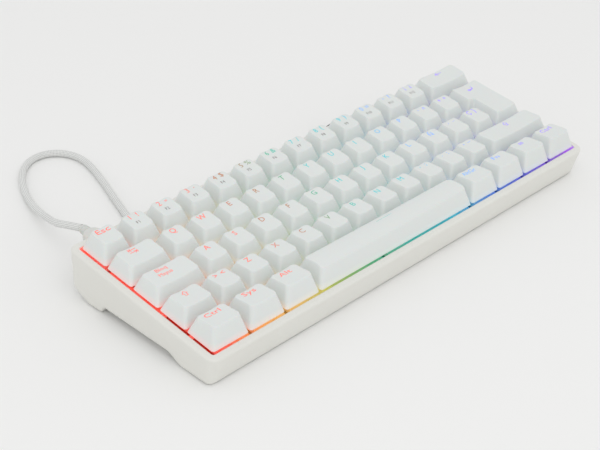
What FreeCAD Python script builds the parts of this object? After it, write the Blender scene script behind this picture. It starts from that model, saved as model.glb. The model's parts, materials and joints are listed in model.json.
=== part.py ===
"""Compact 62-key mechanical keyboard: case tray, switch plate, circuit board, switches,
keycaps with their stems, stabilised wide keys, rubber feet and a plug-in USB cable.

Row frame: +X to the typist's right, +Y to the rear, +Z up, z = 0 on the table.
Key plane: the case rim's top. It is tilted by typing_angle about X, and every piece that
is fixed square to it is drawn in its coordinates (u right, v rearward, w up from the rim,
u = v = 0 at the front left corner of the key grid) and then placed by lay_on_key_plane().
"""
import FreeCAD, Part
import Sketcher
import math
import os

os.makedirs("parts", exist_ok=True)
doc = FreeCAD.newDocument("keyboard")
V = FreeCAD.Vector

# ---------------------------------------------------------------- driving sizes (mm, degrees)
SIZES = {
    # layout
    "key_pitch": 19.05, "grid_columns": 15, "grid_rows": 5, "typing_angle": 6.5,
    "key_plane_height": 18.1, "key_plane_front": -47.65,
    # case tray
    "rim_gap": 0.5, "rim_width": 4.0, "rim_corner": 5.0, "rim_inner_corner": 1.2,
    "rim_round": 1.2, "wall_draft": 1.9, "tray_floor": 2.0, "foot_height": 0.5,
    "belly_rise": 3.9, "belly_front": 20.0, "belly_rear": 78.0, "belly_slope": 6.0,
    "heel_rise": 4.5, "heel_run": 12.0, "heel_setback": 2.5, "boss_depth": 3.2, "plate_hole_fit": 0.15,
    # plate, board and switches (levels are measured down from the key plane)
    "plate_top": 6.2, "plate_thick": 1.5, "board_drop": 5.0, "board_thick": 1.6,
    "edge_gap": 0.8, "switch_cutout": 14.0, "switch_fit": 0.1, "flange_width": 15.6,
    "flange_thick": 0.7, "pocket_width": 11.6, "pocket_depth": 9.0, "base_floor": 1.0,
    "housing_height": 6.0, "housing_foot": 14.0, "housing_head": 10.8, "housing_roof": 1.2,
    "slider_width": 7.0, "slider_depth": 5.8, "shoulder_width": 9.6, "shoulder_depth": 6.6,
    "slider_drop": 6.2, "slide_gap": 0.2, "post_pin": 4.0, "pin_reach": 2.6,
    "spring_outer": 4.4, "spring_wall": 0.45,
    "cross_length": 4.0, "cross_arm": 1.2, "cross_rise": 3.6, "cross_fit": 0.05,
    # keycaps
    "cap_gap": 0.45, "cap_lift": 0.3, "cap_inset": 3.1, "cap_wall": 1.4, "cap_roof": 1.5,
    "cap_corner": 2.2, "cap_edge": 0.5, "cap_post": 5.5, "cap_post_lift": 0.9,
    "dish_sag": 0.55, "crown_radius": 18.0, "crown_height": 10.6, "enter_dish_radius": 70.0,
    "enter_height": 8.1,
    # stabilisers
    "stab_reach": 11.938, "space_stab_reach": 50.0, "stab_width": 6.6, "stab_depth": 10.0,
    "stab_top": 3.2, "stab_stem_width": 4.5, "stab_stem_depth": 7.6,
    "stab_stem_drop": 6.9, "wire_size": 1.6, "wire_arm": 9.25, "wire_level": 8.7,
    "wire_angle": 15.5, "wire_slot": 3.6,
    # electronics and fasteners
    "led_length": 3.2, "led_width": 1.6, "led_height": 0.8, "led_offset": 4.7,
    "chip_width": 7.0, "chip_height": 0.9, "screw_head": 3.2, "screw_head_height": 1.1,
    "screw_shank": 1.9, "boss_size": 4.6, "foot_width": 22.0, "foot_depth": 8.0, "foot_inset": 9.0,
    # USB-C socket, plug and cable
    "port_centre": 18.5, "port_level": 9.3, "port_width": 8.94, "port_height": 3.16,
    "port_wall": 0.3, "port_start": 93.0, "port_length": 5.6, "port_notch_gap": 0.3, "tongue_width": 6.69,
    "tongue_height": 0.7, "port_opening_gap": 0.9, "plug_width": 8.34, "plug_height": 2.5,
    "plug_wall": 0.3, "plug_insert": 4.9, "boot_width": 11.0, "boot_height": 6.6,
    "boot_gap": 0.6, "boot_length": 11.0, "relief_length": 5.0, "relief_size": 6.0,
    "cord_size": 4.0, "hank_run": 124.0, "hank_width": 28.4, "hank_top": 21.0,
    "hank_height": 12.0, "hank_lift": 0.95, "hank_left": -6.5, "hank_near": 52.5, "tie_width": 9.0,
    "tail_run": 22.0, "tail_setback": 16.4, "grip_corner": 2.0, "floor_gap": 0.05,
    "tie_thick": 0.9, "usb_width": 12.0, "usb_height": 4.5, "usb_wall": 0.35,
    "usb_length": 12.0, "grip_width": 15.8, "grip_height": 8.0, "grip_length": 27.0,
}
sheet = doc.addObject("Spreadsheet::Sheet", "sizes")
for line, (name, value) in enumerate(SIZES.items(), start=1):
    sheet.set(f"A{line}", name)
    sheet.set(f"B{line}", str(value))
    sheet.setAlias(f"B{line}", name)
doc.recompute()


def size(name):
    """The value of one cell."""
    return float(sheet.get(name))


def cells(text):
    """The formula with each size's name turned into a reference to its cell."""
    words, out = "abcdefghijklmnopqrstuvwxyz_", ""
    word = ""
    for letter in text + " ":
        if letter in words:
            word += letter
            continue
        out += f"sizes.{word}" if word in SIZES else word
        word = ""
        out += letter
    return out.strip()


def bind(thing, **formulas):
    """Ties an object's properties to formulas of cells; at=(x, y, z) ties its place."""
    for x, formula in zip("xyz", formulas.pop("at", ())):
        thing.setExpression(f"Placement.Base.{x}", cells(str(formula)))
    for prop, formula in formulas.items():
        thing.setExpression(prop, cells(str(formula)))
    return thing


def make(kind, name, **formulas):
    return bind(doc.addObject(f"Part::{kind}", name), **formulas)


def box(name, length, width, height, at):
    return make("Box", name, Length=length, Width=width, Height=height, at=at)


def slab(name, length, width, low, high, centre=("0", "0")):
    """A block centred on a point of the key plane, between two levels."""
    (cu, cv) = centre
    return box(name, length, width, f"({high}) - ({low})",
               (f"({cu}) - ({length}) / 2", f"({cv}) - ({width}) / 2", low))


def rod(name, radius, low, high, centre=("0", "0")):
    (cu, cv) = centre
    return make("Cylinder", name, Radius=radius, Height=f"({high}) - ({low})", at=(cu, cv, low))


def taper(name, foot, head, low, high, centre=("0", "0")):
    """A block whose foot (width, depth) shrinks to its head (width, depth)."""
    block = doc.addObject("Part::Wedge", name)
    block.Placement.Rotation = FreeCAD.Rotation(V(1, 0, 0), 90)
    for axis, (wide, far) in (("X", (foot[0], head[0])), ("Z", (foot[1], head[1]))):
        bind(block, **{f"{axis}min": f"-({wide}) / 2", f"{axis}max": f"({wide}) / 2",
                       f"{axis}2min": f"-({far}) / 2", f"{axis}2max": f"({far}) / 2"})
    bind(block, Ymin="0", Ymax=f"({high}) - ({low})", at=(centre[0], centre[1], low))
    return block


def fuse(name, *things):
    made = doc.addObject("Part::MultiFuse", name)
    made.Shapes = list(things)
    return made


def cut(name, base, *tools):
    made = doc.addObject("Part::Cut", name)
    made.Base = base
    made.Tool = tools[0] if len(tools) == 1 else group(f"{name}_tools", *tools)
    return made


def group(name, *things):
    made = doc.addObject("Part::Compound", name)
    made.Links = list(things)
    return made


def round_edges(name, base, radius, chosen):
    """Rounds the edges of base that chosen(edge) picks. radius is a cell's name."""
    doc.recompute()
    picked = [i for i, edge in enumerate(base.Shape.Edges, start=1) if chosen(edge)]
    made = doc.addObject("Part::Fillet", name)
    made.Base = base
    made.Edges = [(i, size(radius), size(radius)) for i in picked]
    return made


PITCH = "key_pitch"
GRID_WIDTH = "grid_columns * key_pitch"
GRID_DEPTH = "grid_rows * key_pitch"
BOARD_TOP = "-(plate_top + board_drop)"
PLATE_TOP = "-plate_top"
SUB_PARTS = []


def sub_part(thing, label):
    thing.Label = label
    SUB_PARTS.append(thing)
    return thing


def tilted(thing):
    """Moves a thing from key-plane coordinates into the row frame."""
    thing.Placement.Rotation = FreeCAD.Rotation(V(1, 0, 0), size("typing_angle"))
    return bind(thing, **{"Placement.Rotation.Angle": "typing_angle"},
                at=(f"-({GRID_WIDTH}) / 2", "key_plane_front", "key_plane_height"))


def lay_on_key_plane(thing, label):
    """A sub-part that was drawn in key-plane coordinates."""
    return sub_part(tilted(thing), label)


# ---------------------------------------------------------------- layout
# Each key: node name, column of its left edge, row from the front, width in key units.
LETTER_ROWS = [(3, 1.5, "qwertyuiop"), (2, 1.75, "asdfghjkl"), (1, 2.25, "zxcvbnm")]
KEYS = [(f"key_{letter}", start + i, line, 1) for line, start, letters in LETTER_ROWS
        for i, letter in enumerate(letters)]
KEYS += [("key_n_tilde", 10.75, 2, 1), ("key_escape", 0, 4, 1), ("key_backspace", 13, 4, 2),
         ("key_tab", 0, 3, 1.5), ("key_caps_lock", 0, 2, 1.75), ("key_left_shift", 0, 1, 1.25),
         ("key_right_shift", 12.25, 1, 2.75), ("key_space", 3.75, 0, 6.25)]
KEYS += [("keys_numbers", 1 + i, 4, 1) for i in range(12)]
KEYS += [("keys_punctuation", u, line, 1) for u, line in
         ((11.5, 3), (12.5, 3), (11.75, 2), (12.75, 2), (1.25, 1), (9.25, 1), (10.25, 1), (11.25, 1))]
KEYS += [("keys_modifiers", u, 0, 1.25) for u in (0, 1.25, 2.5, 10, 11.25, 12.5, 13.75)]
ENTER = ("key_enter", 13.75, 2, 1.25)
ENTER_CENTRE = (f"14.375 * {PITCH}", f"3 * {PITCH}")


def centre_of(key):
    _, column, line, width = key
    return (f"{column + width / 2} * {PITCH}", f"{line + 0.5} * {PITCH}")


CENTRES = [centre_of(key) for key in KEYS] + [ENTER_CENTRE]
# Stabilised keys: key name, centre, reach of each stem from the centre, the way the two
# stems lie from the centre, and the way from the stems to the wire's long bar.
STABILISED = [
    ("backspace", centre_of(KEYS[[k[0] for k in KEYS].index("key_backspace")]), "stab_reach", "u", -1),
    ("right_shift", centre_of(KEYS[[k[0] for k in KEYS].index("key_right_shift")]), "stab_reach", "u", -1),
    ("space", centre_of(KEYS[[k[0] for k in KEYS].index("key_space")]), "space_stab_reach", "u", 1),
    ("enter", ENTER_CENTRE, "stab_reach", "v", -1),
]


def place_each(name, thing, centres):
    """One copy of a thing at each centre of the key plane."""
    copies = []
    for i, (cu, cv) in enumerate(centres):
        copies.append(bind(group(f"{name}_{i}", thing), at=(cu, cv, "0")))
    return group(name, *copies)


def stem_places(reach, way):
    """The two stabiliser stems' offsets from their key's centre."""
    if way == "u":
        return [(f"-{reach}", "0"), (reach, "0")]
    return [("0", f"-{reach}"), ("0", reach)]


# ---------------------------------------------------------------- case tray
# One moulding: a drafted rectangular shell with a flat rim, level underneath, standing on a
# front and a rear foot with the belly raised between them.
OUTER_WIDTH = f"{GRID_WIDTH} + 2 * (rim_gap + rim_width)"
OUTER_DEPTH = f"{GRID_DEPTH} + 2 * (rim_gap + rim_width)"
MIDDLE = (f"({GRID_WIDTH}) / 2", f"({GRID_DEPTH}) / 2")
# How far the drafted block, and the cutters that go right through, reach past the tray.
SHELL_DEPTH = "40"
THROUGH = ("400", "200", "80")


def above(name, level):
    """Everything above a level of the row frame."""
    length, width, height = THROUGH
    return box(name, length, width, height, (f"-{length} / 2", "key_plane_front - 40", level))


def upright(edge):
    return edge.BoundBox.ZLength > 0.9 * size("key_plane_height")


shell = taper("shell", (f"{OUTER_WIDTH} - 2 * wall_draft * {SHELL_DEPTH} / 20",
                        f"{OUTER_DEPTH} - 2 * wall_draft * {SHELL_DEPTH} / 20"),
              (OUTER_WIDTH, OUTER_DEPTH), f"-{SHELL_DEPTH}", "0", MIDDLE)
shell_round = tilted(group("shell_on_plane", round_edges("shell_round", shell, "rim_corner", upright)))
shell_level = doc.addObject("Part::Common", "shell_level")
shell_level.Base = shell_round
shell_level.Tool = above("level_block", "foot_height")


def side_prism(name, points):
    """A prism through the whole width whose side profile has these corners (y, z)."""
    sketch = doc.addObject("Sketcher::SketchObject", f"{name}_profile")
    sketch.Placement = FreeCAD.Placement(V(0, 0, 0), FreeCAD.Rotation(V(1, 1, 1), 120))
    count = len(points)
    drawn = [V(60 * math.cos(2 * math.pi * i / count), 60 * math.sin(2 * math.pi * i / count), 0)
             for i in range(count)]
    for i in range(count):
        sketch.addGeometry(Part.LineSegment(drawn[i], drawn[(i + 1) % count]))
    for i, (y, z) in enumerate(points):
        sketch.addConstraint(Sketcher.Constraint("Coincident", i, 2, (i + 1) % count, 1))
        for axis, formula in (("DistanceX", y), ("DistanceY", z)):
            at = sketch.addConstraint(Sketcher.Constraint(axis, -1, 1, i, 1, 10.0 + i))
            sketch.setExpression(f"Constraints[{at}]", cells(formula))
    prism = doc.addObject("Part::Extrusion", name)
    prism.Base = sketch
    prism.DirMode = "Custom"
    prism.Dir = V(1, 0, 0)
    prism.Solid = True
    prism.Symmetric = True
    prism.LengthFwd = float(THROUGH[0])
    return prism


belly = side_prism("belly", [
    ("key_plane_front + belly_front", "-5"),
    ("key_plane_front + belly_front", "foot_height"),
    ("key_plane_front + belly_front + belly_slope", "belly_rise + foot_height"),
    ("key_plane_front + belly_rear - belly_slope / 2", "belly_rise + foot_height"),
    ("key_plane_front + belly_rear", "foot_height"),
    ("key_plane_front + belly_rear", "-5")])
REAR_FACE = f"key_plane_front + {GRID_DEPTH} + 3.4"
heel = side_prism("heel", [
    (f"{REAR_FACE} - heel_run", "-5"),
    (f"{REAR_FACE} - heel_run", "foot_height"),
    (f"{REAR_FACE} - heel_setback", "heel_rise"),
    (f"{REAR_FACE} + 9", "heel_rise + 9"),
    (f"{REAR_FACE} + 9", "-5")])
well = slab("well", f"{GRID_WIDTH} + 2 * rim_gap", f"{GRID_DEPTH} + 2 * rim_gap", "-60", "5", MIDDLE)


def well_corner(edge):
    return edge.BoundBox.ZLength > 60


well_round = round_edges("well_round", well, "rim_inner_corner", well_corner)
well_on_plane = tilted(group("well_on_plane", well_round))
well_floor = side_prism("well_floor", [
    ("key_plane_front - 20", "foot_height + tray_floor"),
    ("key_plane_front + belly_front - 2", "foot_height + tray_floor"),
    ("key_plane_front + belly_front + belly_slope - 2", "belly_rise + foot_height + tray_floor"),
    ("key_plane_front + 150", "belly_rise + foot_height + tray_floor"),
    ("key_plane_front + 150", "90"),
    ("key_plane_front - 20", "90")])
hollow = doc.addObject("Part::Common", "hollow")
hollow.Base = well_on_plane
hollow.Tool = well_floor


def pill(name, width, height, start, length):
    """A bar along v with round sides, in line with the USB socket: width is over all."""
    radius = f"({height}) / 2"
    flat = box(f"{name}_flat", f"({width}) - ({height})", length, height,
               (f"port_centre - (({width}) - ({height})) / 2", start, f"-port_level - {radius}"))
    ends = []
    for side, sign in (("left", "-"), ("right", "+")):
        end = doc.addObject("Part::Cylinder", f"{name}_{side}")
        end.Placement.Rotation = FreeCAD.Rotation(V(1, 0, 0), -90)
        bind(end, Radius=radius, Height=length,
             at=(f"port_centre {sign} (({width}) - ({height})) / 2", start, "-port_level"))
        ends.append(end)
    return fuse(name, flat, *ends)


# The slot in the rear wall that the plug goes through.
port_opening = tilted(group("port_opening", pill(
    "port_opening_shape", "port_width + 2 * (port_wall + port_opening_gap)",
    "port_height + 2 * (port_wall + port_opening_gap)", f"{GRID_DEPTH} - 4", "14")))
tray_shell = cut("tray_shell", shell_level, belly, heel, hollow, port_opening)

# Screw bosses stand on the tray's floor in the gaps between the switch rows.
SCREWS = [(u, v) for v in (2, 3) for u in (2.0, 7.0, 12.5)]
SCREW_PLACES = [(f"{u} * {PITCH}", f"{v} * {PITCH}") for u, v in SCREWS]
boss = rod("boss", "boss_size / 2", "-24", f"{BOARD_TOP} - board_thick")
boss_trim = doc.addObject("Part::Common", "boss_trim")
boss_trim.Base = tilted(place_each("bosses", boss, SCREW_PLACES))
boss_trim.Tool = above("boss_space", "belly_rise + foot_height + 0.2")
boss_bore = rod("boss_bore", "screw_shank / 2", f"{BOARD_TOP} - board_thick - boss_depth", "0")
boss_bores = tilted(place_each("boss_bores", boss_bore, SCREW_PLACES))
tray_block = fuse("tray_block", tray_shell, boss_trim)
tray_bored = cut("tray_bored", tray_block, boss_bores)


def rim_edge(edge):
    """The rim's outer edge: its highest outline, at the key plane."""
    tilt = math.radians(size("typing_angle"))
    reach = size("grid_columns") * size("key_pitch") / 2 + size("rim_gap") + 1
    depth = size("grid_rows") * size("key_pitch")
    for point in [v.Point for v in edge.Vertexes]:
        y, z = point.y - size("key_plane_front"), point.z - size("key_plane_height")
        v, w = y * math.cos(tilt) + z * math.sin(tilt), z * math.cos(tilt) - y * math.sin(tilt)
        outside = abs(point.x) > reach or v < -size("rim_gap") - 1 or v > depth + size("rim_gap") + 1
        if abs(w) > 0.01 or not outside:
            return False
    return True


case_tray = sub_part(round_edges("case_tray_rounded", tray_bored, "rim_round", rim_edge), "case_tray")

# Rubber feet: one pad under each end of the front and rear foot.
pads = []
for side, x in (("left", "-(outer) / 2 + foot_inset"), ("right", "(outer) / 2 - foot_inset - foot_width")):
    for end, y in (("front", "key_plane_front + 6"), ("rear", "key_plane_front + belly_rear + 0.6")):
        pads.append(box(f"pad_{side}_{end}", "foot_width", "foot_depth", "foot_height",
                        (x.replace("outer", OUTER_WIDTH), y, "0")))
sub_part(group("feet", *pads), "rubber_feet")

# ---------------------------------------------------------------- plate and circuit board
DEEP = "-20"  # a level under the board, where holes start that go right through
INNER = (f"{GRID_WIDTH} + 2 * (rim_gap - edge_gap)", f"{GRID_DEPTH} + 2 * (rim_gap - edge_gap)")
plate_blank = slab("plate_blank", *INNER, "-(plate_top + plate_thick)", PLATE_TOP, MIDDLE)
cutouts = place_each("cutouts", slab("cutout", "switch_cutout", "switch_cutout", DEEP, "0"), CENTRES)
stab_cutouts = []
for name, (cu, cv), reach, way, toward in STABILISED:
    for i, (du, dv) in enumerate(stem_places(reach, way)):
        long_side, short_side = "wire_arm + wire_size + stab_depth / 2 + 0.8", "stab_width + 0.2"
        shift = f"{toward} * (wire_arm + wire_size - stab_depth / 2) / 2"
        if way == "u":
            hole = slab(f"{name}_cutout_{i}", short_side, long_side, DEEP, "0",
                        (f"{cu} + {du}", f"{cv} + {shift}"))
        else:
            hole = slab(f"{name}_cutout_{i}", long_side, short_side, DEEP, "0",
                        (f"{cu} + {shift}", f"{cv} + {dv}"))
        stab_cutouts.append(hole)
screw_hole = rod("screw_hole", "screw_shank / 2 + plate_hole_fit", DEEP, "0")
plate_holes = place_each("plate_holes", screw_hole, SCREW_PLACES)
# The notch in the plate's rear edge that the USB socket's shell stands in.
port_notch = box("port_notch", "port_width + 2 * (port_wall + port_notch_gap)", "20", "20",
                 ("port_centre - port_width / 2 - port_wall - port_notch_gap",
                  "port_start - port_notch_gap", DEEP))
lay_on_key_plane(cut("plate", plate_blank, cutouts, *stab_cutouts, plate_holes, port_notch), "switch_plate")

board_blank = slab("board_blank", *INNER, f"{BOARD_TOP} - board_thick", BOARD_TOP, MIDDLE)
pin_holes = place_each("pin_holes", rod("pin_hole", "post_pin / 2 + switch_fit", DEEP, "0"), CENTRES)
board_holes = place_each("board_holes", screw_hole, SCREW_PLACES)
lay_on_key_plane(cut("board", board_blank, pin_holes, board_holes), "circuit_board")

chip = slab("chip", "chip_width", "chip_width", f"{BOARD_TOP} - board_thick - chip_height",
            f"{BOARD_TOP} - board_thick", (f"4.5 * {PITCH}", f"4 * {PITCH}"))
lay_on_key_plane(group("chip_group", chip), "controller_chip")
# The lamps lie on the board under the rear edge of each switch, in a notch of its base.
led = slab("led", "led_length", "led_width", BOARD_TOP, f"{BOARD_TOP} + led_height", ("0", "led_offset"))
lay_on_key_plane(place_each("leds", led, CENTRES), "key_leds")

# ---------------------------------------------------------------- switches
base_block = slab("base_block", "switch_cutout - 2 * switch_fit", "switch_cutout - 2 * switch_fit",
                  BOARD_TOP, PLATE_TOP)
base_flange = slab("base_flange", "flange_width", "flange_width", PLATE_TOP, f"{PLATE_TOP} + flange_thick")
base_pin = rod("base_pin", "post_pin / 2", f"{BOARD_TOP} - pin_reach", BOARD_TOP)
base_pocket = slab("base_pocket", "pocket_width", "pocket_depth - 2 * base_floor",
                   f"{BOARD_TOP} + base_floor", "0")
led_notch = slab("led_notch", "led_length + 0.6", "led_width + 0.6", f"{BOARD_TOP} - 1",
                 f"{BOARD_TOP} + led_height + 0.2", ("0", "led_offset + 0.1"))
base = cut("switch_base", fuse("base_body", base_block, base_flange, base_pin), base_pocket, led_notch)
lay_on_key_plane(place_each("bases", base, CENTRES), "switch_bases")

FLANGE_TOP = f"{PLATE_TOP} + flange_thick"
HOUSING_TOP = f"{FLANGE_TOP} + housing_height"
head_block = taper("head_block", ("housing_foot", "housing_foot"), ("housing_head", "housing_head"),
                   FLANGE_TOP, HOUSING_TOP)
head_pocket = slab("head_pocket", "shoulder_width + 2 * slide_gap", "shoulder_depth + 2 * slide_gap",
                   f"{FLANGE_TOP} - 1", f"{HOUSING_TOP} - housing_roof")
head_mouth = slab("head_mouth", "slider_width + 2 * slide_gap", "slider_depth + 2 * slide_gap", "-6", "6")
head = cut("switch_head", head_block, head_pocket, head_mouth)
lay_on_key_plane(place_each("heads", head, CENTRES), "switch_tops")

SLIDER_FOOT = f"{HOUSING_TOP} - slider_drop"
SPRING_SEAT = f"{BOARD_TOP} + base_floor"
spring = cut("spring", rod("spring_outside", "spring_outer / 2", SPRING_SEAT, f"{SLIDER_FOOT} - 0.1"),
             rod("spring_inside", "spring_outer / 2 - spring_wall", SPRING_SEAT, SLIDER_FOOT))
lay_on_key_plane(place_each("springs", spring, CENTRES), "switch_springs")

# The slider and the cross on its head, which the keycap's post grips.
CROSS_TOP = f"{HOUSING_TOP} + cross_rise"
cross = (slab("cross_wide", "cross_length", "cross_arm", HOUSING_TOP, CROSS_TOP),
         slab("cross_deep", "cross_arm", "cross_length", HOUSING_TOP, CROSS_TOP))
slider = fuse("slider",
              slab("slider_neck", "slider_width", "slider_depth", SLIDER_FOOT, HOUSING_TOP),
              slab("slider_shoulder", "shoulder_width", "shoulder_depth", SLIDER_FOOT,
                   f"{HOUSING_TOP} - housing_roof - 0.3"), *cross)

# ---------------------------------------------------------------- stabilisers
stab_block = slab("stab_block", "stab_width", "stab_depth", f"{BOARD_TOP} + 0.15", "-stab_top")
stab_pocket = slab("stab_pocket", "stab_stem_width + 2 * slide_gap",
                   "stab_stem_depth + 2 * slide_gap", "-30", "0")
stab_slots = {way: slab(f"stab_slot_{way}", *dims, "-30", f"-(plate_top - 2.4)", place)
              for way, dims, place in (
                  ("front", ("wire_size + 0.6", "stab_depth"), ("0", "-stab_depth / 2")),
                  ("rear", ("wire_size + 0.6", "stab_depth"), ("0", "stab_depth / 2")))}
stab_housing = {way: cut(f"stab_housing_{way}", stab_block, stab_pocket, slot)
                for way, slot in stab_slots.items()}
stem_block = slab("stem_block", "stab_stem_width", "stab_stem_depth", "-stab_stem_drop", HOUSING_TOP)
stem_slots = {way: slab(f"stem_slot_{way}", "wire_size + 0.4", "stab_stem_depth", "-30",
                        "-(stab_stem_drop - wire_slot)", ("0", shift))
              for way, shift in (("front", "-(stab_stem_depth / 2 - cross_arm)"),
                                 ("rear", "stab_stem_depth / 2 - cross_arm"))}
stab_stem = {way: cut(f"stab_stem_{way}", fuse(f"stem_solid_{way}", stem_block, *cross), slot)
             for way, slot in stem_slots.items()}


def turned(name, thing, way, toward, at):
    """A stabiliser piece at its place, turned a quarter when the key is stabilised along v."""
    made = group(name, thing)
    if way == "v":
        made.Placement.Rotation = FreeCAD.Rotation(V(0, 0, 1), -90)
    return bind(made, at=(at[0], at[1], "0"))


housings, stab_stems = [], {}
for name, (cu, cv), reach, way, toward in STABILISED:
    side = "rear" if toward > 0 else "front"
    stab_stems[name] = []
    for i, (du, dv) in enumerate(stem_places(reach, way)):
        housings.append(turned(f"{name}_housing_{i}", stab_housing[side], way, toward,
                               (f"{cu} + {du}", f"{cv} + {dv}")))
        stab_stems[name].append(turned(f"{name}_stem_{i}", stab_stem[side], way, toward, (du, dv)))
lay_on_key_plane(group("housings", *housings), "stabiliser_housings")

for name, (cu, cv), reach, way, toward in STABILISED:
    # A bent wire: a long bar under the plate and an arm up into each stem.
    wire_pieces = []
    bar = doc.addObject("Part::Cylinder", f"{name}_bar")
    bar.Placement.Rotation = FreeCAD.Rotation(V(0, 1, 0), 90)
    wire_pieces.append(bind(bar, Radius="wire_size / 2", Height=f"2 * {reach}",
                            at=(f"-{reach}", f"{toward} * wire_arm * cos(wire_angle)", "-wire_level")))
    for i, sign in enumerate(("-", "")):
        corner = make("Sphere", f"{name}_bend_{i}", Radius="wire_size / 2",
                      at=(f"{sign}{reach}", f"{toward} * wire_arm * cos(wire_angle)", "-wire_level"))
        arm = doc.addObject("Part::Cylinder", f"{name}_arm_{i}")
        arm.Placement.Rotation = FreeCAD.Rotation(V(toward, 0, 0), 90 - size("wire_angle"))
        bind(arm, **{"Placement.Rotation.Angle": "90 - wire_angle"})
        bind(arm, Radius="wire_size / 2", Height="wire_arm + 0.4",
             at=(f"{sign}{reach}", f"{toward} * wire_arm * cos(wire_angle)", "-wire_level"))
        wire_pieces += [corner, arm]
    wire = group(f"{name}_wire_place", fuse(f"{name}_wire_shape", *wire_pieces))
    if way == "v":
        wire.Placement.Rotation = FreeCAD.Rotation(V(0, 0, 1), -90)
    bind(wire, at=(cu, cv, "0"))
    lay_on_key_plane(group(f"{name}_wire_group", wire), f"{name}_wire")

# ---------------------------------------------------------------- keycaps
# Sculpted rows: front-edge inset and height of the top, then rear-edge inset and height.
ROW_TOPS = {4: (4.9, 9.6, 2.45, 10.2), 3: (4.7, 8.4, 2.25, 8.8), 2: (4.5, 8.6, 2.15, 8.3),
            1: (4.3, 9.6, 2.25, 8.1), 0: (4.3, 11.0, 2.25, 8.9)}
TALL = "14"


def cap_block(name, width, depth, line, inset, lift, wall):
    """A keycap's outer or inner form, from its skirt up to a level above the top's cut."""
    front, front_rise, rear, rear_rise = ROW_TOPS[line]
    grow = f"{TALL} / ({max(front_rise, rear_rise)} - cap_lift)"
    block = doc.addObject("Part::Wedge", name)
    block.Placement.Rotation = FreeCAD.Rotation(V(1, 0, 0), 90)
    half = f"(({width}) / 2 - cap_gap - {wall})"
    bind(block, Xmin=f"-{half}", Xmax=half,
         X2min=f"-{half} + {inset} * {grow}", X2max=f"{half} - {inset} * {grow}",
         Zmin=f"-(({depth}) / 2 - cap_gap - {wall})", Zmax=f"({depth}) / 2 - cap_gap - {wall}",
         Z2min=f"-(({depth}) / 2 - cap_gap - {wall}) + ({rear} - cap_gap) * {grow}",
         Z2max=f"({depth}) / 2 - cap_gap - {wall} - ({front} - cap_gap) * {grow}",
         Ymin="0", Ymax=TALL, at=("0", "0", lift))
    return block


def leaning(edge):
    """The long edges at the corners, from the skirt up."""
    return edge.BoundBox.ZLength > 5


def dish_cutter(name, width, line):
    """A round bar whose underside is the dish of a keycap's top, sloped as the row is."""
    front, front_rise, rear, rear_rise = ROW_TOPS[line]
    slope = math.atan2(rear_rise - front_rise, size("key_pitch") - front - rear)
    top_width = size("key_pitch") * width - 2 * size("cap_gap") - 2 * size("cap_inset")
    sag = size("dish_sag")
    radius = (top_width ** 2 / 4 + sag ** 2) / (2 * sag)
    middle = V(0, (front - rear) / 2, (front_rise + rear_rise) / 2 - sag)
    along, outward = V(0, math.cos(slope), math.sin(slope)), V(0, -math.sin(slope), math.cos(slope))
    bar = doc.addObject("Part::Cylinder", f"{name}_dish")
    bar.Radius, bar.Height = radius, 80
    bar.Placement = FreeCAD.Placement(middle + outward * radius - along * 40,
                                      FreeCAD.Rotation(V(1, 0, 0), math.degrees(slope) - 90))
    return bar


def crown_cutter(name):
    """The space bar's top, rounded from front to rear."""
    bar = doc.addObject("Part::Cylinder", f"{name}_crown")
    bar.Placement.Rotation = FreeCAD.Rotation(V(0, 1, 0), 90)
    return bind(bar, Radius="crown_radius", Height="300", at=("-150", "-0.5", "crown_height - crown_radius"))


def roof_block(name, line):
    """Everything above the ceiling of a keycap's room."""
    level = f"{min(ROW_TOPS[line][1::2])} - dish_sag - cap_roof"
    return box(f"{name}_roof", "200", "60", "30", ("-100", "-30", level))


def keycap(name, width, line, posts=()):
    """One keycap: a thin shell with a dished top and a post for each stem it sits on."""
    long_side = f"{width} * {PITCH}"
    outer = cap_block(f"{name}_form", long_side, PITCH, line, "cap_inset", "cap_lift", "0")
    outer = round_edges(f"{name}_corners", outer, "cap_corner", leaning)
    if name == "cap_space":
        shell_top = doc.addObject("Part::Common", f"{name}_crowned")
        shell_top.Base = outer
        shell_top.Tool = crown_cutter(name)
    else:
        shell_top = cut(f"{name}_dished", outer, dish_cutter(name, width, line))
    doc.recompute()
    top = shell_top.Shape.BoundBox.ZMax

    def brow(edge):
        """The edges round the top, with no foot on the skirt or on the sides."""
        return edge.BoundBox.ZMin > 0.6 * top
    rounded = round_edges(f"{name}_rounded", shell_top, "cap_edge", brow)
    inner = cap_block(f"{name}_room", long_side, PITCH, line, "cap_inset", "cap_lift - 0.01", "cap_wall")
    room = cut(f"{name}_hollow", inner, roof_block(name, line))
    shell_cap = cut(f"{name}_shell", rounded, room)
    return finish_cap(name, shell_cap, line, posts)


def finish_cap(name, shell_cap, line, posts):
    """Adds the posts, cuts their cross sockets, and groups the cap with its slider."""
    roof = f"{min(ROW_TOPS[line][1::2])} - dish_sag - cap_roof + 0.3"
    places = [("0", "0")] + [place for place, _ in posts]
    solid = [shell_cap]
    sockets = []
    for i, place in enumerate(places):
        solid.append(rod(f"{name}_post_{i}", "cap_post / 2", "cap_post_lift", roof, place))
        for arm, across, along in (("wide", "cross_length", "cross_arm"),
                                   ("deep", "cross_arm", "cross_length")):
            sockets.append(slab(f"{name}_socket_{arm}_{i}", f"{across} + 2 * cross_fit",
                                f"{along} + 2 * cross_fit", "0", f"{CROSS_TOP} + cross_fit", place))
    cap = cut(f"{name}_cap", fuse(f"{name}_body", *solid), *sockets)
    return group(name, cap, slider, *[stem for _, stem in posts])


def posts_of(name):
    for stabilised, _, reach, way, _ in STABILISED:
        if stabilised == name:
            return list(zip(stem_places(reach, way), stab_stems[name]))
    return []


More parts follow.
